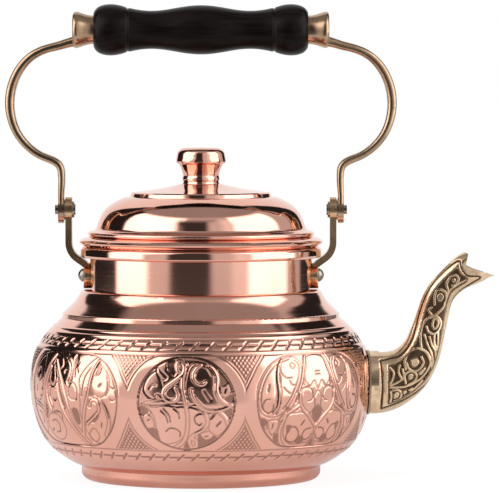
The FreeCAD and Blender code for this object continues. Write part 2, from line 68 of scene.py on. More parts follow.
def new_material(name):
    material = bpy.data.materials.new(name)
    material.use_nodes = True
    return material, material.node_tree, material.node_tree.nodes["Principled BSDF"]


def colour(r, g, b):
    return (r, g, b, 1.0)


def coordinates(tree):
    """X, Y and Z on the object in its own axes."""
    return node(tree, "SeparateXYZ", {0: node(tree, "TexCoord").outputs["Object"]}).outputs


def places(tree, stretch=(1, 1, 1)):
    """Places on the object in its own axes, stretched."""
    spot = node(tree, "TexCoord").outputs["Object"]
    return node(tree, "Mapping", {"Vector": spot, "Scale": stretch}).outputs[0]


def turned_places(tree, across, up):
    """Places by distance from the pot's axis and height, so that a noise on them makes turning marks."""
    spot = coordinates(tree)
    squares = math_node(tree, "ADD", math_node(tree, "POWER", spot[0], 2.0),
                        math_node(tree, "POWER", spot[1], 2.0))
    distance = math_node(tree, "MULTIPLY", math_node(tree, "SQRT", squares), across)
    height = math_node(tree, "MULTIPLY", spot[2], up)
    return node(tree, "CombineXYZ", {0: distance, 2: height}).outputs[0]


def noise(tree, vector, scale, detail=3.0, roughness=0.5):
    return node(tree, "TexNoise", {"Vector": vector, "Scale": scale, "Detail": detail,
                                   "Roughness": roughness}).outputs[0]


def stripes(tree, radius, lean, pitch):
    """Waves that run slanted round the pot, from -1 to 1, with sizes in mm."""
    spot = coordinates(tree)
    turn = math_node(tree, "ARCTAN2", spot[0], spot[1])
    round_it = math_node(tree, "MULTIPLY", turn, radius * math.tau / pitch)
    up = math_node(tree, "MULTIPLY", spot[2], lean * math.tau / (pitch * MM))
    return math_node(tree, "SINE", math_node(tree, "ADD", round_it, up))


def ranged(tree, value, low, high, to_low, to_high):
    return node(tree, "MapRange", {0: value, 1: low, 2: high, 3: to_low, 4: to_high}).outputs[0]


def blended(tree, factor, first, second):
    return node(tree, "Mix", {0: factor, 6: first, 7: second}, data_type="RGBA").outputs[2]


def attribute(tree, name):
    return node(tree, "Attribute", attribute_name=name).outputs["Fac"]


def bumped(tree, height, strength, distance):
    return node(tree, "Bump", {"Height": height, "Strength": strength, "Distance": distance}).outputs[0]


def dress(tree, shader, hue, rough, normal, metallic=1.0):
    """Gives a shader its colour, roughness and bump."""
    for socket, value in (("Base Color", hue), ("Roughness", rough), ("Normal", normal)):
        tree.links.new(value, shader.inputs[socket])
    shader.inputs["Metallic"].default_value = metallic


def bare_material(name):
    material = new_material(name)[0]
    material.node_tree.nodes.clear()
    return material, material.node_tree


def placed(name, data):
    made = bpy.data.objects.new(name, data)
    bpy.context.scene.collection.objects.link(made)
    return made


# Materials

def lining_share(tree, outward_across, outward_up, reach=100 * MM):
    """1 on faces that look into the pot, no further from its axis than reach, for the tinned inside."""
    spot = coordinates(tree)
    flat = node(tree, "CombineXYZ", {0: spot[0], 1: spot[1]}).outputs[0]
    away = node(tree, "VectorMath", {0: flat}, operation="NORMALIZE").outputs[0]
    facing = node(tree, "TexCoord").outputs["Normal"]
    across = node(tree, "VectorMath", {0: away, 1: facing}, operation="DOT_PRODUCT").outputs["Value"]
    up = node(tree, "SeparateXYZ", {0: facing}).outputs[2]
    sum_of = math_node(tree, "ADD", math_node(tree, "MULTIPLY", across, outward_across),
                       math_node(tree, "MULTIPLY", up, outward_up))
    distance = node(tree, "VectorMath", {0: flat}, operation="LENGTH").outputs["Value"]
    near = math_node(tree, "LESS_THAN", distance, reach)
    return math_node(tree, "MULTIPLY", ranged(tree, sum_of, -0.12, -0.2, 0.0, 1.0), near)


COPPER = colour(0.87, 0.485, 0.385)
COPPER_WARM = colour(0.80, 0.415, 0.315)
# Dark colour painted into the copper carving's cut lines and hatched grounds as shade
COPPER_CUT_SHADE = colour(0.085, 0.034, 0.026)
# Dark colour painted into the brass carving's cut lines and sunken grounds as shade
BRASS_CUT_SHADE = colour(0.045, 0.022, 0.012)
TIN = colour(0.62, 0.60, 0.56)
BELLY_RADIUS = 85.0


def copper(name, rough_low, rough_high, lining=None, marks=0.05, carved=False,
           pale=COPPER, warm=COPPER_WARM):
    """Turned copper, where asked with a tinned inside and with shade painted dark into the cut lines and
    hatched grounds of its carving.
    """
    material, tree, shader = new_material(name)
    broad = noise(tree, places(tree), 22.0, 4.0)
    hue = blended(tree, ranged(tree, broad, 0.35, 0.7, 0.0, 1.0), pale, warm)
    turning = noise(tree, turned_places(tree, 900.0, 900.0), 1.0, 2.0)
    rough = ranged(tree, math_node(tree, "MULTIPLY", broad, turning), 0.1, 0.4, rough_low, rough_high)
    if lining:
        inside = lining_share(tree, *lining)
        hue = blended(tree, inside, hue, TIN)
        rough = math_node(tree, "ADD", rough, math_node(tree, "MULTIPLY", inside, 0.22))
    if carved:
        # Painted shade: the cut lines, and the grounds in stripes where their hatch grooves would be, are
        # coloured dark
        deep = attribute(tree, "carved")
        ground = attribute(tree, "ground")
        hatch_shade = ranged(tree, stripes(tree, BELLY_RADIUS, 0.75, 1.05), -0.5, 0.6, 0.35, 0.85)
        dark = math_node(tree, "MAXIMUM", deep, math_node(tree, "MULTIPLY", ground, hatch_shade))
        hue = blended(tree, dark, hue, COPPER_CUT_SHADE)
        rough = math_node(tree, "ADD", rough, math_node(tree, "MULTIPLY", dark, 0.2))
    dress(tree, shader, hue, rough, bumped(tree, turning, marks, 0.04 * MM))
    return material


def brass(name, pale, warm, dark, rough_low, rough_high, grain, carved=False):
    """Cast brass with dark stains, where asked with shade painted dark into the cut lines and grounds of its
    carving.
    """
    material, tree, shader = new_material(name)
    broad = noise(tree, places(tree), 60.0, 4.0, 0.6)
    fine = noise(tree, places(tree), 900.0, 3.0, 0.6)
    hue = blended(tree, ranged(tree, broad, 0.35, 0.68, 0.0, 1.0), pale, warm)
    rough = ranged(tree, broad, 0.3, 0.7, rough_low, rough_high)
    stains = ranged(tree, noise(tree, places(tree), 170.0, 5.0, 0.65), 0.56, 0.74, 0.0, 0.55)
    hue = blended(tree, stains, hue, dark)
    if carved:
        # Painted shade: the carving's cut lines and sunken grounds are coloured dark
        deep = attribute(tree, "carved")
        hue = blended(tree, deep, hue, BRASS_CUT_SHADE)
        rough = math_node(tree, "ADD", rough, math_node(tree, "MULTIPLY", deep, 0.3))
    dress(tree, shader, hue, rough, bumped(tree, fine, grain, 0.08 * MM))
    return material


def steel(name, hue, rough_low, rough_high):
    material, tree, shader = new_material(name)
    broad = noise(tree, places(tree), 500.0, 3.0)
    darker = colour(hue[0] * 0.6, hue[1] * 0.58, hue[2] * 0.55)
    rough = ranged(tree, broad, 0.3, 0.7, rough_low, rough_high)
    dress(tree, shader, blended(tree, broad, hue, darker), rough, bumped(tree, broad, 0.1, 0.05 * MM))
    return material


def solder_material():
    material, tree, shader = new_material("solder_grey")
    grain = noise(tree, places(tree), 700.0, 4.0, 0.6)
    hue = blended(tree, grain, colour(0.52, 0.42, 0.33), colour(0.36, 0.25, 0.17))
    rough = ranged(tree, grain, 0.3, 0.7, 0.3, 0.5)
    dress(tree, shader, hue, rough, bumped(tree, grain, 0.25, 0.1 * MM))
    return material


def wood_material():
    material, tree, shader = new_material("dark_lacquered_wood")
    grain = noise(tree, places(tree, (12.0, 190.0, 190.0)), 3.0, 6.0, 0.62)
    pores = noise(tree, places(tree, (60.0, 900.0, 900.0)), 2.0, 3.0)
    hue = blended(tree, ranged(tree, grain, 0.38, 0.66, 0.0, 1.0), colour(0.0036, 0.0021, 0.0019),
                  colour(0.0105, 0.0060, 0.0050))
    rough = ranged(tree, grain, 0.3, 0.7, 0.27, 0.36)
    surface = math_node(tree, "ADD", grain, math_node(tree, "MULTIPLY", pores, 0.5))
    dress(tree, shader, hue, rough, bumped(tree, surface, 0.10, 0.2 * MM), metallic=0.0)
    shader.inputs["Specular IOR Level"].default_value = 0.10
    return material


neck_copper = copper("copper_polished_wall", 0.08, 0.15, lining=(1.0, 0.0))
lid_copper = copper("copper_polished_lid", 0.04, 0.08, lining=(0.35, 1.0, 55 * MM))
plain_copper = copper("copper_polished", 0.04, 0.09)
belly_copper = copper("copper_engraved", 0.05, 0.11, lining=(1.0, 0.0), carved=True)
foot_copper = copper("copper_satin_foot", 0.20, 0.34, lining=(0.5, -1.0), marks=0.14,
                     pale=colour(0.78, 0.40, 0.31), warm=colour(0.70, 0.33, 0.25))
spout_brass = brass("brass_cast_antique", colour(0.89, 0.67, 0.45), colour(0.64, 0.45, 0.28),
                    colour(0.17, 0.095, 0.05), 0.14, 0.26, 0.08, carved=True)
arm_brass = brass("brass_polished_bronze", colour(0.52, 0.365, 0.24), colour(0.37, 0.24, 0.15),
                  colour(0.11, 0.055, 0.03), 0.17, 0.27, 0.02)
ear_brass = brass("brass_cast_ear", colour(0.78, 0.53, 0.30), colour(0.50, 0.31, 0.16),
                  colour(0.10, 0.05, 0.025), 0.16, 0.34, 0.10)
rivet_steel = steel("steel_rivet", colour(0.36, 0.33, 0.29), 0.10, 0.22)
pin_steel = steel("steel_pin", colour(0.50, 0.46, 0.40), 0.22, 0.38)
solder_grey = solder_material()
grip_wood = wood_material()

wearing = {
    "base_pan": foot_copper,
    "neck_shell": neck_copper,
    "rim_band": plain_copper,
    "rim_wire": pin_steel,
    "spout_seat": solder_grey,
    "lid_shell": lid_copper,
    "lid_collar": plain_copper,
    "lid_knob": plain_copper,
    "knob_washer": rivet_steel,
    "knob_screw": rivet_steel,
    "grip": grip_wood,
    "grip_rod": pin_steel,
}
for side in ("left", "right"):
    wearing["ear_" + side] = ear_brass
    wearing["ear_rivet_" + side] = rivet_steel
    wearing["rivet_burr_" + side] = plain_copper
    wearing["pivot_pin_" + side] = rivet_steel
    wearing["pivot_washer_" + side] = pin_steel
    wearing["pivot_spacer_" + side] = pin_steel
    wearing["bail_arm_" + side] = arm_brass
for name, material in wearing.items():
    nodes[name].data.materials.clear()
    nodes[name].data.materials.append(material)


# Lines and fields for the carving, in mm

def smooth(points, closed=False, steps=6):
    """A line of short steps on a smooth curve through the points."""
    p = np.array(points, float)
    if closed:
        q = np.vstack([p[-1:], p, p[:2]])
    else:
        q = np.vstack([2 * p[0] - p[1], p, 2 * p[-1] - p[-2]])
    t = np.linspace(0, 1, steps, endpoint=False)[:, None]
    runs = []
    for a, b, c, d in zip(q, q[1:], q[2:], q[3:]):
        square = (2 * a - 5 * b + 4 * c - d) * t**2
        cube = (3 * b - a - 3 * c + d) * t**3
        runs.append(0.5 * (2 * b + (c - a) * t + square + cube))
    line = np.vstack(runs)
    return np.vstack([line, line[:1] if closed else p[-1:]])


FAR = 3.0


def gap(points, line, reach=FAR):
    """Least distance from each point to a line, or reach where it is further."""
    best = np.full(len(points), reach * reach)
    near = ((points > line.min(0) - reach) & (points < line.max(0) + reach)).all(1)
    close = points[near]
    least = best[near]
    for start, end in zip(line, line[1:]):
        step = end - start
        offset = close - start
        t = np.clip(offset @ step / max(step @ step, 1e-9), 0, 1)
        np.minimum(least, ((offset - t[:, None] * step)**2).sum(1), out=least)
    best[near] = least
    return np.sqrt(best)


def within(points, line):
    """Whether each point lies inside a closed line."""
    x, y = points.T
    odd = np.zeros(len(points), bool)
    for (x0, y0), (x1, y1) in zip(line, line[1:]):
        if y0 != y1:
            odd ^= ((y0 > y) != (y1 > y)) & (x < (x1 - x0) * (y - y0) / (y1 - y0) + x0)
    return odd


def signed(points, line):
    """Distance to a closed line, positive inside it."""
    return np.where(within(points, line), 1, -1) * gap(points, line)


def step_up(x, low, high):
    """A soft step from 0 at low to 1 at high."""
    t = np.clip((x - low) / (high - low), 0, 1)
    return t * t * (3 - 2 * t)


def cut_of(distance, half_width):
    """A round-bottomed cut: 1 in its middle, 0 from half_width on."""
    return np.clip(1 - (distance / half_width)**2, 0, 1)


def both_sides(lines):
    """The lines and their mirror images."""
    return list(lines) + [[(-x, y) for x, y in line] for line in lines]


LINE_HALF = 0.5
RIM_HALF = 0.55


def relief(points, design):
    """How deep and how dark the carving is at each point of a panel, and where its ground is.

    The field is the panel's outline. Leaves have a cut edge, cuts and slots are cut lines, and ribbons are
    round ridges. The ground is what patches cover or, without any, all that is neither leaf nor ribbon.
    The darkness is painted shade in the cut edges, the cut lines and the rim line round the field.
    """
    field = signed(points, smooth(design["field"], closed=True))
    standing = np.full(len(points), -FAR)
    edges = np.full(len(points), FAR)
    for leaf in design["leaves"]:
        reach = signed(points, smooth(leaf, closed=True))
        standing = np.maximum(standing, reach)
        edges = np.minimum(edges, np.abs(reach))
    line_cut = np.zeros(len(points))
    for line in design.get("cuts", ()):
        line_cut = np.maximum(line_cut, cut_of(gap(points, smooth(line)), LINE_HALF))
    for x, y, along, rise, half_width in design.get("slots", ()):
        slot = np.array([(x - along, y - rise), (x + along, y + rise)])
        line_cut = np.maximum(line_cut, cut_of(gap(points, slot), half_width))
    edge_cut = cut_of(edges, design["edge"])
    nearest = np.full(len(points), FAR)
    for ribbon in design["ribbons"]:
        nearest = np.minimum(nearest, gap(points, smooth(ribbon)))
    inward = design["ribbon"] - nearest
    standing = np.maximum(standing, inward)
    core = step_up(inward, -0.1, 0.25)
    edge_cut = np.maximum(edge_cut, cut_of(inward + 0.3, design["edge"])) * (1 - core)
    crown = cut_of(nearest, design["ribbon"] + 0.2)
    if "patches" in design:
        ground = np.zeros(len(points))
        for patch in design["patches"]:
            covered = step_up(signed(points, smooth(patch, closed=True)), -0.2, 0.3)
            ground = np.maximum(ground, covered)
        ground = ground * (1 - core)
    else:
        ground = step_up(-standing, 0.1, 0.5)
    ground = ground * step_up(field, 0.0, 0.4)
    deep = np.maximum(ground * design["ground"], design["line"] * np.maximum(edge_cut, line_cut))
    deep = (deep + design["sunk"]) * (1 - crown)
    inside = step_up(field, -0.2, 0.2)
    rim = cut_of(field, RIM_HALF)
    # Painted shade: the leaves' cut edges, the cut lines and the rim line round the field are coloured dark
    dark = np.maximum(np.maximum(design["edge_shade"] * edge_cut, 0.8 * line_cut) * inside, 0.8 * rim)
    return np.maximum(deep * inside, 0.45 * rim), dark, ground * inside


# What the medallions share: depths of ground, field and lines, and half widths of edges and ribbons
shallow = {"ground": 0.35, "sunk": 0.26, "line": 0.26, "edge": 0.48, "ribbon": 0.62}

# The round medallion: a stem with leaves on both sides, in a field of this half width and half height
FIELD_WIDTH = 23.4
FIELD_HEIGHT = 23.2
round_panel = {
    **shallow,
    "edge_shade": 0.42,
    "field": [(FIELD_WIDTH * math.sin(a), FIELD_HEIGHT * math.cos(a))
              for a in np.linspace(0, 2 * math.pi, 24, endpoint=False)],
    "patches": [
        [(5.7, -22.6), (5.7, -15.8), (6.9, -14.3), (7.7, -15.8), (9.6, -17.7), (11.9, -17.3), (13, -15.8),
         (14.6, -15.8), (15.6, -17.2), (13.8, -19.7), (10.7, -21.8), (7.7, -23)],
        [(-1.8, -23), (0, -18.1), (1.3, -22.6)],
        [(-20.4, -12.4), (-14.8, -12), (-13.9, -15.8), (-13.1, -19.7), (-15.4, -18.6), (-18.4, -15.2)],
        [(-23, -0.6), (-20, -1.2), (-18.1, -3.5), (-20.4, -5.4), (-22.6, -5)],
        [(-9.6, 19.6), (-7.7, 21.4), (-4.8, 21.6), (-4.9, 19.2), (-4, 16.9), (-5.8, 13.6), (-7.4, 15.4)],
        [(15.3, 17), (18.8, 13.8), (20.6, 10.4), (16.5, 8.8), (15.9, 13.5)],
        [(18.4, 3), (22.6, 5.4), (23, 1.6), (20.7, 0.8)],
        [(18, -3.5), (22.6, -1.7), (21.4, -7), (18.8, -4.6)],
    ],
    "leaves": [
        [(-0.8, 15.5), (-3.8, 12.8), (-8.1, 9.7), (-10.4, 7.4), (-11, 4.7), (-9.6, 2.4), (-6.9, 1.4),
         (-0.4, 1), (-1.4, 7.4), (-1.8, 12)],
        [(7.3, 20.1), (11.2, 18.9), (13.6, 16.6), (15, 12.8), (14.8, 7.4), (16.2, 3.5), (19.2, 0.8),
         (22, -0.3), (18.1, -2.2), (13.5, -3), (8.8, -2.2), (5.8, 0.5), (1.2, 0.2), (-0.4, 7.4), (0.2, 13.5),
         (1.6, 18), (4.2, 20.4)],
        [(0.8, -1.4), (4.5, -1.4), (8.8, -3.8), (10.2, -6.1), (10.5, -9.2), (8.5, -12.2), (4.2, -14.9),
         (1.5, -17.5), (0.9, -13), (1.4, -7.2)],
        [(-20.4, -0.3), (-17.3, -3.4), (-15.4, -8), (-14.8, -14.2), (-13.5, -18.8), (-10, -20.3),
         (-5.8, -19.4), (-2.6, -17.5), (-0.4, -13.5), (0.2, -7.2), (-0.6, -1.1), (-5, -0.8), (-9.6, 0),
         (-15.8, -0.5)],
        [(-22.2, 0.3), (-15.8, 2.2), (-9.6, 2), (-5.8, 0.8), (-9.6, 0.4), (-15.8, -0.2)],
        [(-21.5, -7.2), (-20.4, -5.3), (-18.2, -4.9), (-16.4, -8), (-16, -11.1), (-18.5, -12),
         (-20.2, -11.1)],
        [(-15, 15.8), (-18.5, 12.8), (-20.5, 8.2), (-19.6, 5.1), (-16.5, 2.9), (-13.5, 3.6), (-11.6, 5.8),
         (-11.7, 9.7), (-13.1, 13.5)],
        [(-14.1, 18), (-11.8, 15.8), (-9.2, 13.2), (-10.8, 12), (-12.8, 13.5), (-14.2, 15.8)],
        [(16.2, 8.9), (20, 10.1), (21.5, 6.6), (20, 3.9), (17.3, 4.3), (15.6, 6.6)],
        [(14.2, -3.4), (17.7, -4.5), (20.2, -8), (20, -11.1), (17.7, -14.2), (15.4, -15.7), (13.1, -14.5),
         (11.2, -12.2), (11.4, -9.5), (12, -6)],
        [(6.7, -14.9), (7.3, -16.8), (9.8, -17.8), (12.1, -17.2), (13.6, -15.3), (11, -13.2)],
        [(-6.5, 20.6), (-5.4, 17.5), (-7.5, 15), (-9.5, 17.5)],
    ],
    "ribbons": [
        [(-0.4, 19.6), (-1.5, 12.8), (-1.4, 7.4), (0.2, -1.1), (0.8, -7.2), (0.2, -14.2), (-1.9, -19.2),
         (-5.9, -22.2)],
        [(-0.9, 15.1), (-0.9, 18.9), (-2.7, 21), (-4.5, 19.7), (-4.2, 17), (-3.2, 15.6)],
        [(-0.8, 15.5), (-3.8, 12.8), (-8.1, 9.7), (-10.4, 7.4), (-11, 4.7), (-9.6, 2.4), (-6.9, 1.6),
         (-4.6, 2.4), (-3.8, 5.1), (-5, 8)],
        [(7.3, 19.3), (5, 17.4), (3.7, 15.1), (4.1, 12), (6.2, 10.1), (8.2, 9.8), (9.5, 10.8)],
        [(11.2, 18.9), (13.6, 16.6), (15, 12.8), (14.8, 7.4), (16.2, 3.5), (19.2, 0.5), (22.3, -0.3)],
        [(21.9, -0.5), (18.1, -2.2), (13.5, -3), (8.8, -2.2), (5.8, 0.5), (3.6, 3.5), (2.7, 7)],
        [(8.8, -3.8), (10.2, -6.1), (10.5, -9.2), (8.5, -12.2), (4.2, -14.9), (1.5, -18), (1.9, -21.1),
         (3.3, -22.4), (5, -21.1), (4.8, -18.4), (3.1, -17.2)],
        [(16.5, -3.6), (19.2, -6.5), (20.4, -9.4)],
    ],
    "cuts": [
        [(-17.7, 7.6), (-16.4, 9.3), (-14.6, 9.3)],
        [(-15.2, 2.8), (-14.8, 4.7), (-13.1, 4.9), (-11.9, 3.5)],
        [(-12.3, -2.6), (-10, -5.3), (-9, -8.8)],
        [(-11, -1.6), (-8.4, -4.9), (-7.7, -8.4)],
        [(-5.8, -1.6), (-3.8, -3.6), (-3.3, -6.3)],
        [(-3.3, -16.1), (-3.1, -13.8), (-5.4, -12), (-8.1, -11.7), (-10.2, -13.5)],
        [(9, -4.5), (6.2, -4.2), (4.2, -6.1), (4.6, -8.8), (6.5, -9.9), (7.7, -9.2)],
        [(8.2, 18.6), (10.6, 17.6), (12.6, 14.4)],
    ],
    "slots": [
        (10.2, 4.5, 1.4, -2.1, 1.25), (12.8, -5.8, 0.9, 1.1, 0.7), (15.9, -9.5, 0.9, 1, 0.75),
        (-18.6, -7.6, 0.5, 0.2, 0.5), (18.7, 6.8, 0.3, 0.9, 0.5), (9.9, -16, 0.9, 0.1, 0.45),
    ],
}

# The wide medallion, the same on both sides: two paisley leaves, a trefoil and scrolled leaves below
wide_panel = {
    **shallow,
    "edge_shade": 0.55,
    "field": [
        (-35, 3.8), (-34.2, 9.6), (-29.6, 17.1), (-22.5, 22.1), (-15, 23.6), (-6, 23.8), (6, 23.8),
        (15, 23.6), (22.5, 22.1), (29.6, 17.1), (34.2, 9.6), (35, 3.8), (34, -5), (30.8, -13),
        (25, -19.2), (19.2, -22.3), (8, -23.4), (-8, -23.4), (-19.2, -22.3), (-25, -19.2),
        (-30.8, -13), (-34, -5),
    ],
    "patches": both_sides([
        [(-34.4, -6.6), (-28.8, -8.6), (-31.2, -12.4), (-33.4, -10)],
        [(-24.9, -15.8), (-21.9, -15.4), (-21.5, -21.6), (-24.2, -20)],
        [(-24.2, 18.2), (-23, 15.7), (-22.2, 12.4), (-22.9, 6.5), (-22.2, 0.7), (-24.2, -5.4), (-25.5, -5),
         (-24.8, 0.7), (-25.4, 6.5), (-25.6, 12.4)],
        [(-9.4, 15.5), (-8.4, 12), (-8.2, 8.4), (-10.2, 7.6), (-11.6, 4.2), (-12.8, 0.6), (-14.8, -0.2),
         (-12.9, 4.4), (-11.2, 8.6)],
        [(-19.2, -1.6), (-15.8, -3.4), (-17.6, -5.6), (-19.8, -4.2)],
        [(-18.2, -11.2), (-14.8, -11.8), (-17.2, -15.8)],
        [(-11.3, -20.3), (-9, -16.8), (-5.2, -20.2), (-8.4, -22)],
    ]) + [
        [(0, -2), (3.8, -4.8), (0, -11), (-3.8, -4.8)],
        [(-1.6, -23), (0, -18.2), (1.6, -23)],
    ],
    "leaves": both_sides([
        [(-15.8, 23), (-25, 20.2), (-30.8, 14.6), (-33.9, 7.9), (-34.6, 2.1), (-33.4, -3.3), (-30, -6.3),
         (-25, -6.7), (-20.8, -4.6), (-15.8, 1.3), (-12.5, 7.9), (-10.2, 14.6), (-10.4, 19.6),
         (-12.5, 22.3)],
        [(-17.5, -5.8), (-13.3, -5.2), (-9.2, -5.2), (-5, -7.9), (-1.3, -12.5), (-0.4, -17.1), (-2.1, -20.4),
         (-6.7, -21.5), (-13.3, -21.5), (-17.5, -19.2), (-19.6, -15), (-19.4, -10)],
        [(-15, -0.8), (-12.9, 0), (-11.9, -1.5), (-12.5, -3.6), (-15, -4.2)],
        [(-28.8, -8.8), (-25.8, -8.3), (-22.9, -8.8), (-23.2, -12.9), (-25.8, -15.8), (-27.9, -12.9)],
        [(-10.9, 4.4), (-9.2, 7.2), (-6.5, 7.4), (-4.2, 5.6), (-3.3, 2.6), (-2, 0.8), (-2, -2.2),
         (-5.2, -5.6), (-8.6, -3.2), (-10.8, 0.4)],
        [(-31.5, -7.6), (-29.9, -8.6), (-29.2, -12.4), (-31, -11.8)],
        [(-3, -22.6), (-0.9, -20.8), (-0.8, -22.8)],
    ]) + [
        [(-4.6, 23), (-6.8, 17), (-8.6, 12), (-7, 8.9), (-5, 7.6), (-2.4, 10.2), (0, 6.2), (2.4, 10.2),
         (5, 7.6), (7, 8.9), (8.6, 12), (6.8, 17), (4.6, 23)],
        [(0, 5.4), (-2.6, 1.6), (-1.6, -2.6), (0, -1.4), (1.6, -2.6), (2.6, 1.6)],
    ],
    "ribbons": both_sides([
        [(-20.8, 21.3), (-23.2, 17.9), (-24, 12.1), (-23.2, 5.4), (-23.8, -1.3), (-26, -4.6)],
        [(-6.4, 23.2), (-8.6, 17), (-10.6, 9.8), (-12.4, 5.4)],
        [(-11.3, 4.6), (-11, 0), (-8.8, -3.8), (-5, -7.1), (-0.4, -12.1)],
        [(-19.4, -6.9), (-21.7, -12.9), (-20.9, -18.8), (-18.3, -22.3)],
        [(-12, -1.6), (-15.6, -3.6), (-19.6, -5.8), (-22, -8)],
    ]),
    "cuts": both_sides([
        [(-16.6, 21.7), (-24.4, 18.8), (-29.5, 13.9), (-32.4, 7.7), (-33.1, 2.1), (-32, -2.7),
         (-29.4, -4.9)],
        [(-21.2, -3.1), (-17, 2.3), (-13.9, 8.5), (-11.7, 14.9), (-11.8, 19.2), (-13.4, 21)],
        [(-22.9, 18.3), (-21.7, 14.2), (-18.8, 12.1), (-15.8, 12.3)],
        [(-17.5, 10.8), (-16.7, 9.2), (-15, 8.3)],
        [(-20.8, 7.5), (-19.3, 5.8), (-17.3, 4.4)],
        [(-28.3, 2.1), (-30.8, 1.7), (-32, -0.8), (-31, -3.6), (-28.3, -4.6), (-26.6, -2.9), (-26.2, -0.4)],
        [(-15.2, 19.9), (-13.6, 18.3), (-15.2, 16.7), (-16.8, 18.3), (-15.2, 19.9)],
        [(-10.6, 6.7), (-6.7, 7.1), (-4, 5.6), (-3.3, 2.9), (-4.4, 0.8), (-6.3, 0.4)],
        [(-15, -12.1), (-12.5, -12.5), (-10.4, -15), (-10, -17.5), (-11.4, -20), (-14, -20.5), (-16.8, -19),
         (-17.4, -16.4), (-15.9, -13.9)],
        [(-2.5, -13.3), (-5.8, -13.9), (-7.3, -15.8), (-6.9, -18.3), (-4.6, -19.5), (-2.2, -18.4),
         (-1.4, -16.4)],
    ]),
    "slots": [
        (-29, 7.5, 0.3, 1.6, 0.75), (29, 7.5, -0.3, 1.6, 0.75), (-8.5, -10.3, 0.7, 1, 0.7),
        (8.5, -10.3, -0.7, 1, 0.7), (0, 14.8, 1.7, 0, 0.45), (0, 13.3, 1.7, 0, 0.45),
        (-26, -11.4, 0.2, 1.3, 0.5), (26, -11.4, -0.2, 1.3, 0.5),
    ],
}

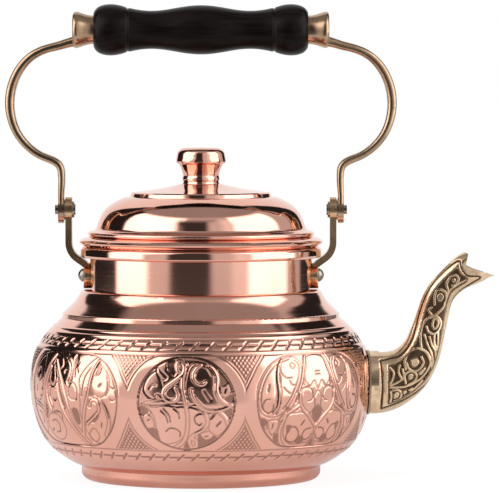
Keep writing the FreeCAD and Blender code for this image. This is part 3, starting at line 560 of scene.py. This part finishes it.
# The sprig medallion: a long bent stem, with a paisley leaf on its right and broad leaves on its left
sprig_panel = {
    **shallow,
    "edge_shade": 0.55,
    "field": wide_panel["field"],
    "patches": [
        [(5.7, -4), (9.9, -4), (11.1, -10.2), (9, -12), (6.6, -8.5)],
        [(18.7, -9.2), (22.6, -5), (24.8, -3.2), (23.6, -7.4), (19.4, -10.8)],
        [(19.2, 11.4), (19.5, 6.6), (21.4, 3.2), (18.6, 2.2), (18.2, 6.6)],
        [(-5, 11), (-1.8, 3.6), (1.2, -4), (-2.2, -2.4), (-4.6, 3)],
        [(22.2, 20.8), (25, 18.6), (25.4, 15.6), (24, 13.2), (22.2, 12.8), (22.8, 16.4)],
        [(-20, -2), (-17, -3), (-15.6, -6.6), (-19, -10.6), (-20.6, -7)],
        [(-8, 22.8), (-4, 23.4), (0.6, 22.4), (-1.8, 20.8), (-5.6, 22.4)],
        [(7.4, 22.8), (10, 20), (8.8, 15.6), (8.4, 11), (7.4, 14.8), (6.4, 19)],
    ],
    "leaves": [
        [(22.2, 22.4), (18.1, 19.4), (14, 15), (11.5, 10.7), (12, 5.7), (12.3, -1), (11.7, -6), (13, -11.8),
         (15.6, -17.6), (19, -21), (23.4, -20.6), (28.6, -15.8), (32.1, -9.3), (34.4, -3), (34.6, 4),
         (33.2, 9.8), (30.2, 15.4), (26.4, 20)],
        [(21.4, 12.6), (19.8, 9.9), (20.2, 6.2), (22, 3.6), (25.5, 2.4), (28.4, 4), (29.8, 7.4),
         (29.6, 11.5), (28.2, 15.2), (25.8, 17.6), (24.6, 14)],
        [(4.1, 6.5), (5.3, 8.4), (8, 8.4), (9.7, 5.7), (9.9, 1.5), (7.4, 0.6), (4.5, 1.7)],
        [(-9.1, 18.2), (-11.2, 12.4), (-11.6, 8.2), (-9.9, 6.2), (-7.5, 7.2), (-6.8, 10.7), (-7.9, 14.9)],
        [(-9.1, 19.9), (-5.8, 22.2), (-2.5, 20.7), (-0.7, 17), (-3.3, 14.7), (-5.6, 17.6)],
        [(-18.6, -12), (-14, -7.8), (-8, -7.2), (-3.6, -10.4), (-2, -15), (-5, -19.6), (-11, -21.4),
         (-16.4, -19.4), (-19, -15.6)],
        [(-33, -4), (-27, -4.4), (-22, -6.6), (-20.6, -11), (-22.4, -16), (-26.6, -18.2), (-30.4, -13.6),
         (-33.2, -8)],
        [(-33.8, 6), (-30.4, 13.4), (-25.4, 19.2), (-20.8, 20.8), (-19.6, 15), (-20.4, 8), (-21.8, 0.6),
         (-27, -1.6), (-33.6, -0.6)],
        [(15.2, -17.4), (16.6, -19.9), (19.7, -20.1), (21.8, -17.8), (21, -14.6), (18.6, -13.4)],
    ],
    "ribbons": [
        [(-7.9, 19.4), (-5, 14.9), (-1.7, 9), (1.6, 0.7), (4.9, -7.6), (9, -15.1), (14, -21.4)],
        [(-5.8, 7.4), (-4.2, 1.5), (-0.9, -6), (3.3, -11.8), (8.2, -17.6), (12.3, -22.8)],
        [(23.5, 20.7), (20.6, 14.9), (18.9, 9), (17.3, 3.2), (14.8, -4.3), (12.7, -11.8), (11.5, -16.8)],
        [(18.5, -1.9), (19.2, 0.2), (21.8, 1), (24, -1), (23.9, -4.3), (21.8, -6.4), (18.9, -8.7),
         (15.2, -11.2)],
        [(24.6, 1.6), (27.2, -1.2), (29.2, -6), (29.2, -11), (26.4, -16.8)],
        [(-9.9, 22.2), (-14, 16.9), (-16.9, 11.5), (-18.6, 6.5), (-18.4, -1), (-19.6, -7.6)],
        [(-12, 16.1), (-15, 9.9), (-16.3, 4), (-14.9, -1.6), (-12.2, -6.2)],
        [(1.6, 21.5), (4.9, 19), (6.4, 15.7), (5.7, 11.5), (4.1, 9)],
        [(-12.4, 5.6), (-12.8, 0.7), (-10.6, -3.6)],
    ],
    "cuts": [
        [(18.9, 17), (15.6, 12.4), (14, 7.4), (13.4, 2.4)],
        [(28.6, 15.6), (30.6, 11.4), (30.4, 6.6), (28.6, 3)],
        [(26.3, 0.7), (28.4, -2.6), (29.8, -7.6)],
        [(31.3, 7.6), (32.6, 6.9), (33.9, 7.4)],
        [(30.9, 1.7), (32.2, 1), (33.4, 1.6)],
        [(10.7, 19), (9.6, 16.5), (10.7, 14)],
        [(-9.1, 0.2), (-7.6, -0.6), (-6.2, 0.2)],
        [(-9.9, -6.4), (-5.8, -6), (-2.9, -7.6), (-3.3, -11)],
        [(-31.4, -2.6), (-26.4, -2.8), (-22.3, -4.6)],
        [(-13.4, -11.4), (-9.4, -10.8), (-7, -13.2), (-8.2, -16.6), (-11.8, -17.2)],
        [(-28.6, 12), (-25, 14.4), (-23.2, 11.8), (-24.6, 8.6)],
        [(-28.4, -7.4), (-25.2, -8.2), (-24, -11.2), (-26.2, -13.6)],
    ],
    "slots": [
        (25.1, 8.2, 0.5, 0.5, 0.9), (24.7, -11.4, 0.3, 1.1, 0.55), (1.6, 14, 0.4, 0.3, 0.8),
        (-15.3, -16.2, 0.5, 0.4, 0.9), (-23.1, 0.9, 0.7, 0.1, 0.5), (-21.4, 4.9, 0.3, 0.5, 0.5),
        (-29, 4.4, 0.3, 1.2, 0.6),
    ],
}
PANELS = {"round": round_panel, "wide": wide_panel, "sprig": sprig_panel}

# Half widths of the medallions' cells in mm, and half the size of the round one's outer edge
ROUND_HALF = 28.8
WIDE_HALF = 41.0
ROUND_OUTER_WIDTH = 30.0
ROUND_OUTER_HEIGHT = 27.7

# The wide ones' outer edge: half width and slope at heights from the middle
EDGE_HEIGHTS = (0, 7, 12, 18, 24)
EDGE_WIDTHS = (42.0, 41.0, 38.4, 35.0, 30.4)
EDGE_SLOPES = (0.0, 0.32, 0.56, 0.7, 0.8)

# Medallions round the belly: middle and half width in degrees from the front, towards the spout
medallions = [
    (-4.3, 19.5, "round"), (42.8, 27.6, "wide"), (-51.7, 27.9, "sprig"), (88.3, 17.9, "round"),
    (131.9, 25.7, "sprig"), (175.5, 17.9, "round"), (219.1, 25.7, "wide"), (262.6, 17.8, "round"),
]
BAND_MIDDLE = 46.3
BAND_HALF = 23.9

# Lines round a medallion and the start of the hatching, by distance beyond its outer edge
RING_LINES = (0.0, 1.35)
HATCH_FROM = (1.6, 1.9)


def medallion_relief(points, kind):
    """Depth, painted shade, ground and hatched corners of one medallion's cell, with two lines round its
    ring.
    """
    x, y = points.T
    deep, dark, ground = relief(points, PANELS[kind])
    if kind == "round":
        rise = np.sqrt(np.clip(1 - (y / ROUND_OUTER_HEIGHT)**2, 0.02, 1))
        outer = ROUND_OUTER_WIDTH * rise
        slope = ROUND_OUTER_WIDTH * y / ROUND_OUTER_HEIGHT**2 / rise
    else:
        outer = np.interp(np.abs(y), EDGE_HEIGHTS, EDGE_WIDTHS)
        slope = np.interp(np.abs(y), EDGE_HEIGHTS, EDGE_SLOPES)
    beyond = (np.abs(x) - outer) / np.sqrt(1 + slope**2)
    # Two cut lines round the ring, with shade painted dark into them
    for place in RING_LINES:
        line = cut_of(beyond - place, 0.45)
        deep = np.maximum(deep, 0.3 * line)
        dark = np.maximum(dark, 0.6 * line)
    return deep, dark, ground, step_up(beyond, *HATCH_FROM)


HATCH_LEAN = 0.62
HATCH_PITCH = 1.75
HATCH_DEPTH = 0.24
HATCH_DARK = 0.7


def hatch(around, along):
    """Crossed lines, for the corners between the medallions."""
    cut = np.zeros(len(around))
    for lean in (HATCH_LEAN, -HATCH_LEAN):
        across = around * math.cos(lean) + along * math.sin(lean)
        away = np.abs((across / HATCH_PITCH + 0.5) % 1 - 0.5) * HATCH_PITCH
        cut = np.maximum(cut, cut_of(away, LINE_HALF))
    return cut


def zigzag(turn, along, copies, middle, half_height, pitch):
    """A running line of level strokes joined by slanted ones."""
    phase = (turn / 360 * copies) % 1 * pitch
    level = [(0.0, 0.25), (0.60 * pitch, 0.25)]
    slanted = [(0.50 * pitch, -half_height), (0.97 * pitch, half_height)]
    nearest = np.full(len(turn), FAR)
    for shift in (-pitch, 0.0, pitch):
        spots = np.stack([phase + shift, along - middle], 1)
        for stroke in (level, slanted):
            nearest = np.minimum(nearest, gap(spots, np.array(stroke)))
    return cut_of(nearest, 0.85)


# The engraved belly: radius and height of its wall in mm, as in the part

SHEET = 1.0
FOOT = np.array((59.75, 7.0))
WIDEST = np.array((85.2, 45.0))
LAP = np.array((69.2, 81.0))
LOW_SHARES = ((0.20, 0.058), (0.437, 0.158), (0.636, 0.27), (0.79, 0.43), (0.92, 0.655))
HIGH_SHARES = ((0.04, 0.37), (0.13, 0.52), (0.27, 0.635), (0.50, 0.785), (0.80, 0.92))
TUCK = [(68.15, 81.0), (68.15, 82.05), (67.15, 82.05), (67.15, 80.5)]
SKIRT = [(57.7, 6.95), (57.7, 4.0), (58.7, 4.0), (58.7, 7.0)]

# Columns and rows of the carved wall, and of the plain faces behind it
COLUMNS = 1200
COARSE_COLUMNS = 200
ROWS = 224
INSIDE_ROWS = 40

# Distances along the wall, which is 50 at the height of 47
KNOWN_HEIGHT = 47.0
KNOWN_ALONG = 50.0

# Plain border lines: distance along the wall, depth and half width
BORDER_LINES = ((70.6, 0.28, 0.5), (72.9, 0.2, 0.42), (22.0, 0.26, 0.5), (78.6, 0.12, 0.4))
BORDER_DARK = 0.55

# Running borders: strokes round the pot, distance along the wall, half height and pitch
RUNNING_BORDERS = ((62, 75.6, 2.0, 8.4), (66, 17.4, 2.2, 7.6))
STROKE_DEPTH = 0.45
STROKE_DARK = 0.6

# Raised beads below the lap
BEADS = (80.4, 83.3)
BEAD_HEIGHT = 0.22
BEAD_HALF = 0.7


def natural_curve(points, count):
    """Places and directions, evenly spaced, on a curve of smooth curvature through the points."""
    p = np.array(points, float)
    t = np.concatenate([[0], np.cumsum(np.linalg.norm(np.diff(p, axis=0), axis=1))])
    h = np.diff(t)
    n = len(p)
    matrix = np.zeros((n, n))
    right = np.zeros((n, 2))
    matrix[0, 0] = matrix[-1, -1] = 1
    for i in range(1, n - 1):
        matrix[i, i - 1:i + 2] = h[i - 1], 2 * (h[i - 1] + h[i]), h[i]
        right[i] = 6 * ((p[i + 1] - p[i]) / h[i] - (p[i] - p[i - 1]) / h[i - 1])
    bend = np.linalg.solve(matrix, right)
    fine = np.linspace(0, t[-1], 4000)
    i = np.clip(np.searchsorted(t, fine) - 1, 0, n - 2)
    a, b, w = (t[i + 1] - fine)[:, None], (fine - t[i])[:, None], h[i][:, None]
    line = (bend[i] * a**3 + bend[i + 1] * b**3) / (6 * w) + (p[i] / w - bend[i] * w / 6) * a \
        + (p[i + 1] / w - bend[i + 1] * w / 6) * b
    run = np.concatenate([[0], np.cumsum(np.linalg.norm(np.diff(line, axis=0), axis=1))])
    even = np.linspace(0, run[-1], count)
    spots = np.stack([np.interp(even, run, line[:, k]) for k in (0, 1)], 1)
    heading = np.gradient(spots, axis=0)
    heading /= np.linalg.norm(heading, axis=1)[:, None]
    return spots, heading, even


def ring_points(radius, height, count):
    turn = np.linspace(0, 2 * math.pi, count, endpoint=False)
    return np.stack([radius * np.sin(turn), -radius * np.cos(turn), np.full(count, height)], 1)


def belly_carving(turns, runs):
    """Depth, painted shade and ground on the wall, at turns in degrees and runs up along it."""
    turn, along = (grid.ravel() for grid in np.meshgrid(turns, runs))
    deep, dark, corner, ground = np.zeros((4, len(turn)))
    for middle, half, kind in medallions:
        away = (turn - middle + 180) % 360 - 180
        cell = (np.abs(away) <= half) & (np.abs(along - BAND_MIDDLE) < BAND_HALF + 1)
        width = ROUND_HALF if kind == "round" else WIDE_HALF
        points = np.stack([away[cell] / half * width, along[cell] - BAND_MIDDLE], 1)
        deep[cell], dark[cell], ground[cell], corner[cell] = medallion_relief(points, kind)
    band = step_up(BAND_HALF - np.abs(along - BAND_MIDDLE), 0.0, 0.3)
    # Hatching between the medallions, with shade painted dark into its lines
    crossed = hatch(np.radians(turn) * BELLY_RADIUS, along) * corner
    deep = np.maximum(deep, HATCH_DEPTH * crossed) * band
    dark = np.maximum(dark, HATCH_DARK * crossed) * band
    # Plain border lines, with shade painted dark into them
    for place, depth, half in BORDER_LINES:
        line = cut_of(np.abs(along - place), half)
        deep = np.maximum(deep, depth * line)
        dark = np.maximum(dark, BORDER_DARK * line)
    # Running borders, with shade painted dark into their strokes
    for copies, middle, half_height, pitch in RUNNING_BORDERS:
        strokes = zigzag(turn, along, copies, middle, half_height, pitch)
        deep = np.maximum(deep, STROKE_DEPTH * strokes)
        dark = np.maximum(dark, STROKE_DARK * step_up(strokes, 0.2, 0.9))
    for place in BEADS:
        deep = deep - BEAD_HEIGHT * cut_of(np.abs(along - place), BEAD_HALF)
    return deep, dark, ground * band


def fans_between(top, bottom, first, last):
    """Faces between the fine rows and the coarse ones, at the lap and at the foot."""
    ratio = COLUMNS // COARSE_COLUMNS
    fans = []
    for c in range(COARSE_COLUMNS):
        start, following = c * ratio, (c + 1) % COARSE_COLUMNS
        for step in range(ratio):
            one, another = (start + step) % COLUMNS, (start + step + 1) % COLUMNS
            middle = c if step < ratio / 2 else following
            fans.append([top + one, top + another, first + middle])
            fans.append([bottom + another, bottom + one, last + middle])
        half = (start + ratio // 2) % COLUMNS
        fans.append([top + half, first + following, first + c])
        fans.append([bottom + half, last + c, last + following])
    return fans


def ring_faces(start, following, count):
    """Faces between two rows of points round the pot, which start at these numbers."""
    j = np.arange(count)
    k = (j + 1) % count
    return np.stack([start + j, start + k, following + k, following + j], 1)


def belly():
    """Points, faces and shades of the carved wall, the tuck at the lap, the inside and the skirt."""
    wall = [FOOT] + [FOOT + (WIDEST - FOOT) * share for share in LOW_SHARES] + [WIDEST]
    wall += [WIDEST + (LAP - WIDEST) * share for share in HIGH_SHARES] + [LAP]
    spots, heading, run = natural_curve(wall, ROWS)
    along = run - np.interp(KNOWN_HEIGHT, spots[:, 1], run) + KNOWN_ALONG
    turn = np.linspace(0, 360, COLUMNS, endpoint=False)
    deep, dark, ground = belly_carving(turn, along)
    # Rows of the wall, pushed in by the carving
    out = np.stack([heading[:, 1], -heading[:, 0]], 1)
    radius = spots[:, 0][:, None] - out[:, 0][:, None] * deep.reshape(ROWS, COLUMNS)
    height = spots[:, 1][:, None] - out[:, 1][:, None] * deep.reshape(ROWS, COLUMNS)
    angle = np.radians(turn)[None, :]
    points = [np.stack([radius * np.sin(angle), -radius * np.cos(angle), height], 2).reshape(-1, 3)]
    # Rows of the tuck, the inside and the skirt, from the lap down to the foot
    inner = spots - out * SHEET
    inner = inner[np.linspace(ROWS - 4, 3, INSIDE_ROWS).astype(int)]
    rest = TUCK + [tuple(p) for p in inner] + SKIRT
    for r, z in rest:
        points.append(ring_points(r, z, COARSE_COLUMNS))
    faces = [ring_faces(i * COLUMNS, (i + 1) * COLUMNS, COLUMNS) for i in range(ROWS - 1)]
    first = ROWS * COLUMNS
    for i in range(len(rest) - 1):
        start = first + i * COARSE_COLUMNS
        faces.append(ring_faces(start, start + COARSE_COLUMNS, COARSE_COLUMNS))
    fans = fans_between((ROWS - 1) * COLUMNS, 0, first, first + (len(rest) - 1) * COARSE_COLUMNS)
    plain = np.zeros(len(rest) * COARSE_COLUMNS)
    shades = {"carved": np.concatenate([dark, plain]), "ground": np.concatenate([ground, plain])}
    return np.vstack(points) * MM, np.vstack(faces).tolist() + fans, shades


def mesh_piece(name, points, faces, shades, material, body, sharp=60):
    """A piece on a body, with a value at each point for each shade, and sharp edges above an angle."""
    mesh = bpy.data.meshes.new(name)
    mesh.from_pydata(points.tolist(), [], faces)
    mesh.update()
    for key, values in shades.items():
        mesh.attributes.new(key, "FLOAT", "POINT").data.foreach_set("value", values.astype(np.float32))
    mesh.materials.append(material)
    mesh.shade_smooth()
    mesh.set_sharp_from_angle(angle=math.radians(sharp))
    piece = placed(name, mesh)
    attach(piece, body)
    return piece


belly_piece = mesh_piece("belly_engraved", *belly(), belly_copper, "kettle")
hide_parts("belly_shell")


# The cast spout with its scrolls

# The scrolls are drawn in marks of half a mm, counted to the right and down: the pot's axis and its foot
AXIS_MARK = 201.0
FOOT_MARK = 478.3
MARKS_PER_MM = 2.0


def side_places(marks):
    """Places on the spout's side in mm, from marks."""
    return [((x - AXIS_MARK) / MARKS_PER_MM, (FOOT_MARK - y) / MARKS_PER_MM) for x, y in marks]


spout_panel = {
    "field": side_places([
        (388, 364), (390, 363.5), (396, 362), (403, 357), (409, 351), (415, 342), (419, 332), (422, 320),
        (426, 306), (431, 294), (437, 285), (446, 276), (456, 268), (460, 273), (467, 279), (459, 285),
        (451, 291), (447, 301), (445, 312), (443, 325), (441, 338), (438, 352), (434, 364), (429, 374),
        (421, 384), (411, 392), (399, 399), (390, 402.5), (388, 403), (388, 400.5), (388, 384),
        (388, 366.5)]),
    "ground": 0.6,
    "sunk": 0.0,
    "line": 0.4,
    "edge_shade": 1.0,
    "edge": 0.45,
    "ribbon": 0.52,
    "leaves": [side_places(line) for line in (
        [(410, 359), (413, 357), (417, 357), (419, 361), (417, 365), (413, 366), (410, 363)],
        [(407, 376), (409, 372), (413, 373), (413, 377), (409, 379)],
        [(417, 373), (420, 369), (424, 366), (427, 369), (426, 373), (422, 375)],
        [(431, 347), (434, 350), (434, 354), (432, 355), (430, 351)],
        [(393, 392), (396, 390), (399, 392), (399, 396), (395, 399), (392, 397)],
        [(436, 296), (440, 292), (444, 296), (441, 301), (437, 300)],
        [(451, 279), (454, 277), (456, 280), (453, 283)],
        [(402, 390), (406, 389), (407, 392), (403, 394)],
    )],
    "ribbons": [side_places(line) for line in (
        [(388, 386), (397, 386), (406, 385), (415, 381), (423, 375), (429, 366), (430, 358), (426, 351),
         (420, 348)],
        [(405, 368), (404, 361), (406, 354), (411, 349), (417, 347), (423, 349), (428, 355), (432, 366)],
        [(406, 362), (408, 367), (413, 370), (419, 368), (423, 362), (421, 356)],
        [(421, 348), (420, 340), (420, 331), (423, 322), (428, 317), (434, 315), (439, 318), (441, 323),
         (439, 329), (434, 333), (428, 331), (426, 326)],
        [(435, 317), (438, 321), (437, 326), (434, 328), (432, 325), (433, 320), (435, 317)],
        [(430, 317), (437, 313), (443, 307), (446, 299), (445, 292), (440, 289), (436, 290), (434, 296),
         (434, 304)],
        [(431, 307), (428, 310), (431, 314)],
        [(446, 300), (448, 292), (446, 285), (448, 279), (452, 275), (456, 275), (458, 279), (456, 283),
         (452, 285)],
        [(448, 293), (451, 289), (457, 284), (465, 280)],
        [(424, 334), (427, 344), (431, 352), (433, 361), (432, 368)],
        [(429, 336), (431, 343), (435, 350), (436, 358)],
        [(434, 334), (434, 342), (437, 349)],
        [(438, 331), (438, 341), (438, 350)],
        [(405, 382), (404, 375), (407, 371), (412, 370), (416, 374), (414, 380), (407, 384)],
        [(389, 366), (393, 371), (392, 378), (389, 383)],
        [(399, 364), (398, 371), (401, 377)],
        [(402, 368), (403, 376), (397, 381), (390, 384)],
        [(390, 401), (391, 395), (390, 390)],
        [(394, 400), (399, 398), (401, 393), (398, 389), (392, 389)],
        [(404, 396), (410, 392), (416, 386), (422, 380)],
        [(409, 389), (412, 388)],
    )],
}
frame_line = smooth(side_places([
    (380, 359), (382.5, 358.5), (390, 357), (398, 355), (404, 350), (410, 341), (414, 329), (418, 314),
    (423, 299), (429, 287), (438, 275), (447, 267), (458, 260), (461, 268), (467, 275), (480, 277),
    (470, 284), (460, 291), (453, 300), (450, 312), (448, 326), (446, 340), (443, 354), (437, 369),
    (427, 383), (413, 394), (398, 402), (384, 407), (381, 408), (381, 405), (382, 384),
    (380.5, 362)]), closed=True, steps=5)
FRAME_LINE_HALF = 0.7
FRAME_LINE_DEPTH = 0.55
SCROLL_GROUND_DARK = 0.93

# Edges on the spout's sides longer than this are divided, beyond its collar
FINEST = 0.43 * MM
COLLAR_END = 88.5 * MM


def needs_dividing(edge):
    """Whether an edge is too long and lies on a side of the spout."""
    return edge.calc_length() > FINEST and all(
        v.normal.y * math.copysign(1, v.co.y) > 0.12 and v.co.x > COLLAR_END for v in edge.verts)


def spout():
    """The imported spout's own surface, divided finely where it faces sideways and carved there."""
    source = bmesh.new()
    source.from_mesh(nodes["spout"].data)
    bmesh.ops.remove_doubles(source, verts=source.verts, dist=0.000001)
    bmesh.ops.triangulate(source, faces=source.faces)
    for _ in range(6):
        source.normal_update()
        long_edges = [edge for edge in source.edges if needs_dividing(edge)]
        if not long_edges:
            break
        bmesh.ops.subdivide_edges(source, edges=long_edges, cuts=1, use_grid_fill=False)
        bmesh.ops.triangulate(source, faces=[f for f in source.faces if len(f.verts) > 3])
    source.normal_update()
    spots = np.array([v.co for v in source.verts]) / MM
    normals = np.array([v.normal for v in source.verts])
    faces = [[v.index for v in f.verts] for f in source.faces]
    source.free()
    facing = normals[:, 1] * np.sign(spots[:, 1])
    side = spots[:, (0, 2)]
    deep, dark, ground = relief(side, spout_panel)
    # The frame line round the scrolls, with shade painted dark into it and into the sunken ground
    line = cut_of(gap(side, frame_line), FRAME_LINE_HALF)
    deep = np.maximum(deep, FRAME_LINE_DEPTH * line)
    dark = np.maximum(np.maximum(dark, SCROLL_GROUND_DARK * ground), line)
    share = step_up(facing, 0.2, 0.5)
    deep *= share
    return (spots - normals * deep[:, None]) * MM, faces, {"carved": dark * share}


spout_piece = mesh_piece("spout_scrolled", *spout(), spout_brass, "kettle", sharp=45)
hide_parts("spout")


# Studio

# In degrees from the front towards the spout: from, to, from and to higher up, low, high, level, softness
SCREENS = (
    (-143, 152, -143, 152, -60, 57, 0.62, 3.0),
    (-150, -94, -150, -97, -60, 57, 0.02, 3.0),
    (-58, -30, -40, -10, -60, 50, 0.80, 6.0),
    (-95, -57, -98, -19, -60, 54, 2.6, 3.5),
    (-31, 11, -18, 8, -60, 44, 0.04, 4.0),
    (-30, 19, -30, 19, 36, 49, 0.05, 6.0),
    (-31, 11, -31, 11, -60, 1, 0.13, 3.0),
    (12, 32, 9, 25, -60, 47, 0.72, 5.0),
    (32, 51, 25, 38, -60, 50, 1.05, 6.0),
    (50, 99, 38, 99, -60, 54, 2.6, 3.5),
    (123, 160, 123, 160, -60, 57, 0.02, 3.0),
)
SCREEN_TOP = 47
SURROUND_RADIUS = 1.3
SURROUND_STEP = 1.5


def light_surround():
    """Soft boxes, dark screens and a pale backdrop round the object, which only its reflections show."""
    across = np.arange(-180, 181, SURROUND_STEP)
    up = np.arange(-45, 91, SURROUND_STEP)
    azimuth, elevation = (a.ravel() for a in np.meshgrid(across, up))
    a, e = np.radians(azimuth), np.radians(elevation)
    points = np.stack([np.cos(e) * np.sin(a), -np.cos(e) * np.cos(a), np.sin(e)], 1)
    # The ceiling ends behind the object with a dark edge, and beyond it is the white backdrop
    behind = points[:, 1] / np.maximum(points[:, 2], 0.05)
    aside = 1 - step_up(azimuth, -144, -141) * (1 - step_up(azimuth, 150, 153))
    backdrop = aside * step_up(behind, 0.34, 0.42)
    glow = 0.36 - 0.33 * step_up(behind, 0.24, 0.30)
    rise = np.clip(elevation / SCREEN_TOP, 0, 1)
    for start, end, start_high, end_high, low, high, level, soft in SCREENS:
        first = start + (start_high - start) * rise
        last = end + (end_high - end) * rise
        share = step_up(azimuth - first, -soft, soft) * (1 - step_up(azimuth - last, -soft, soft))
        below = 1 - step_up(elevation, high - soft, high + soft)
        share *= step_up(elevation, low - soft, low + soft) * below
        glow = glow * (1 - share) + level * share
    glow = glow * (1 - backdrop) + backdrop
    points = points * SURROUND_RADIUS
    wide = len(across)
    starts = [i * wide + j for i in range(len(up) - 1) for j in range(wide - 1)]
    faces = [[start, start + 1, start + wide + 1, start + wide] for start in starts]
    mesh = bpy.data.meshes.new("light_surround")
    mesh.from_pydata(points.tolist(), [], faces)
    mesh.attributes.new("glow", "FLOAT", "POINT").data.foreach_set("value", glow.astype(np.float32))
    material, tree = bare_material("light_surround")
    lit = node(tree, "Emission", {"Strength": attribute(tree, "glow")})
    node(tree, "OutputMaterial", {"Surface": lit.outputs[0]})
    mesh.materials.append(material)
    surround = placed("light_surround", mesh)
    surround.visible_camera = False
    surround.visible_diffuse = False
    surround.visible_shadow = False
    surround.visible_transmission = False


TABLE_EDGE = -0.27
FLOOR_REACH = 12.0
FLOOR_DROP = 0.2 * MM


def floor():
    """A white floor just under the foot, which reflections show only as far as the table's near edge."""
    mesh = bpy.data.meshes.new("floor")
    corners = [(-1, -1), (1, -1), (1, 1), (-1, 1)]
    mesh.from_pydata([(x * FLOOR_REACH, y * FLOOR_REACH, -FLOOR_DROP) for x, y in corners], [],
                     [[0, 1, 2, 3]])
    material, tree = bare_material("floor_white")
    matt = node(tree, "BsdfDiffuse", {"Color": colour(0.86, 0.86, 0.86)})
    white = node(tree, "Emission", {"Color": colour(1, 1, 1), "Strength": 1.13})
    path = node(tree, "LightPath").outputs
    seen = math_node(tree, "MAXIMUM", math_node(tree, "MULTIPLY", path["Is Camera Ray"], 0.8),
                     math_node(tree, "MULTIPLY", path["Is Glossy Ray"], 0.34))
    mixed = node(tree, "MixShader", {0: seen, 1: matt.outputs[0], 2: white.outputs[0]})
    # Reflections show the near edge of the white table, and the dark room below it
    spot = coordinates(tree)
    off_table = ranged(tree, spot[1], TABLE_EDGE - 0.02, TABLE_EDGE + 0.02, 1.0, 0.0)
    through = math_node(tree, "MULTIPLY", off_table, path["Is Glossy Ray"])
    clear = node(tree, "BsdfTransparent")
    surface = node(tree, "MixShader", {0: through, 1: mixed.outputs[0], 2: clear.outputs[0]})
    node(tree, "OutputMaterial", {"Surface": surface.outputs[0]})
    mesh.materials.append(material)
    placed("floor", mesh)


def white_world():
    """A plain white world, dimmer on the object than in the picture and in reflections."""
    world = bpy.data.worlds.new("white_world")
    bpy.context.scene.world = world
    world.use_nodes = True
    tree = world.node_tree
    tree.nodes.clear()
    path = node(tree, "LightPath").outputs
    seen = math_node(tree, "MAXIMUM", path["Is Camera Ray"],
                     math_node(tree, "MAXIMUM", path["Is Glossy Ray"], path["Is Transmission Ray"]))
    strength = ranged(tree, seen, 0.0, 1.0, 0.62, 1.0)
    back = node(tree, "Background", {"Color": colour(1, 1, 1), "Strength": strength})
    node(tree, "OutputWorld", {"Surface": back.outputs[0]})


def lamp(name, place, aim, size, power):
    """A round soft lamp that reflections do not show."""
    data = bpy.data.lights.new(name, "AREA")
    data.shape = "DISK"
    data.size = size
    data.energy = power
    made = placed(name, data)
    made.location = place
    direction = np.array(aim) - np.array(place)
    made.rotation_euler = (math.acos(-direction[2] / np.linalg.norm(direction)), 0,
                           math.atan2(direction[1], direction[0]) - math.pi / 2)
    made.visible_camera = False
    made.visible_glossy = False


light_surround()
floor()
white_world()
lamp("lamp_over", (-0.5, -0.7, 1.6), (0.0, 0.0, 0.1), 1.4, 13.0)


# The camera: aside from the pot's axis, away from it, its height, and the height that it looks at

CAMERA_ASIDE = 0.02425
CAMERA_AWAY = 2.1
CAMERA_HEIGHT = 0.207
AIM_HEIGHT = 0.1159
camera_data = bpy.data.cameras.new("camera")
camera_data.sensor_width = 36.0
camera_data.lens = 303.3
camera_data.clip_end = 50.0
camera = placed("camera", camera_data)
camera.location = (CAMERA_ASIDE, -CAMERA_AWAY, CAMERA_HEIGHT)
camera.rotation_euler = (math.pi / 2 - math.atan2(CAMERA_HEIGHT - AIM_HEIGHT, CAMERA_AWAY), 0, 0)
bpy.context.scene.camera = camera
bpy.context.scene.view_settings.view_transform = "Standard"
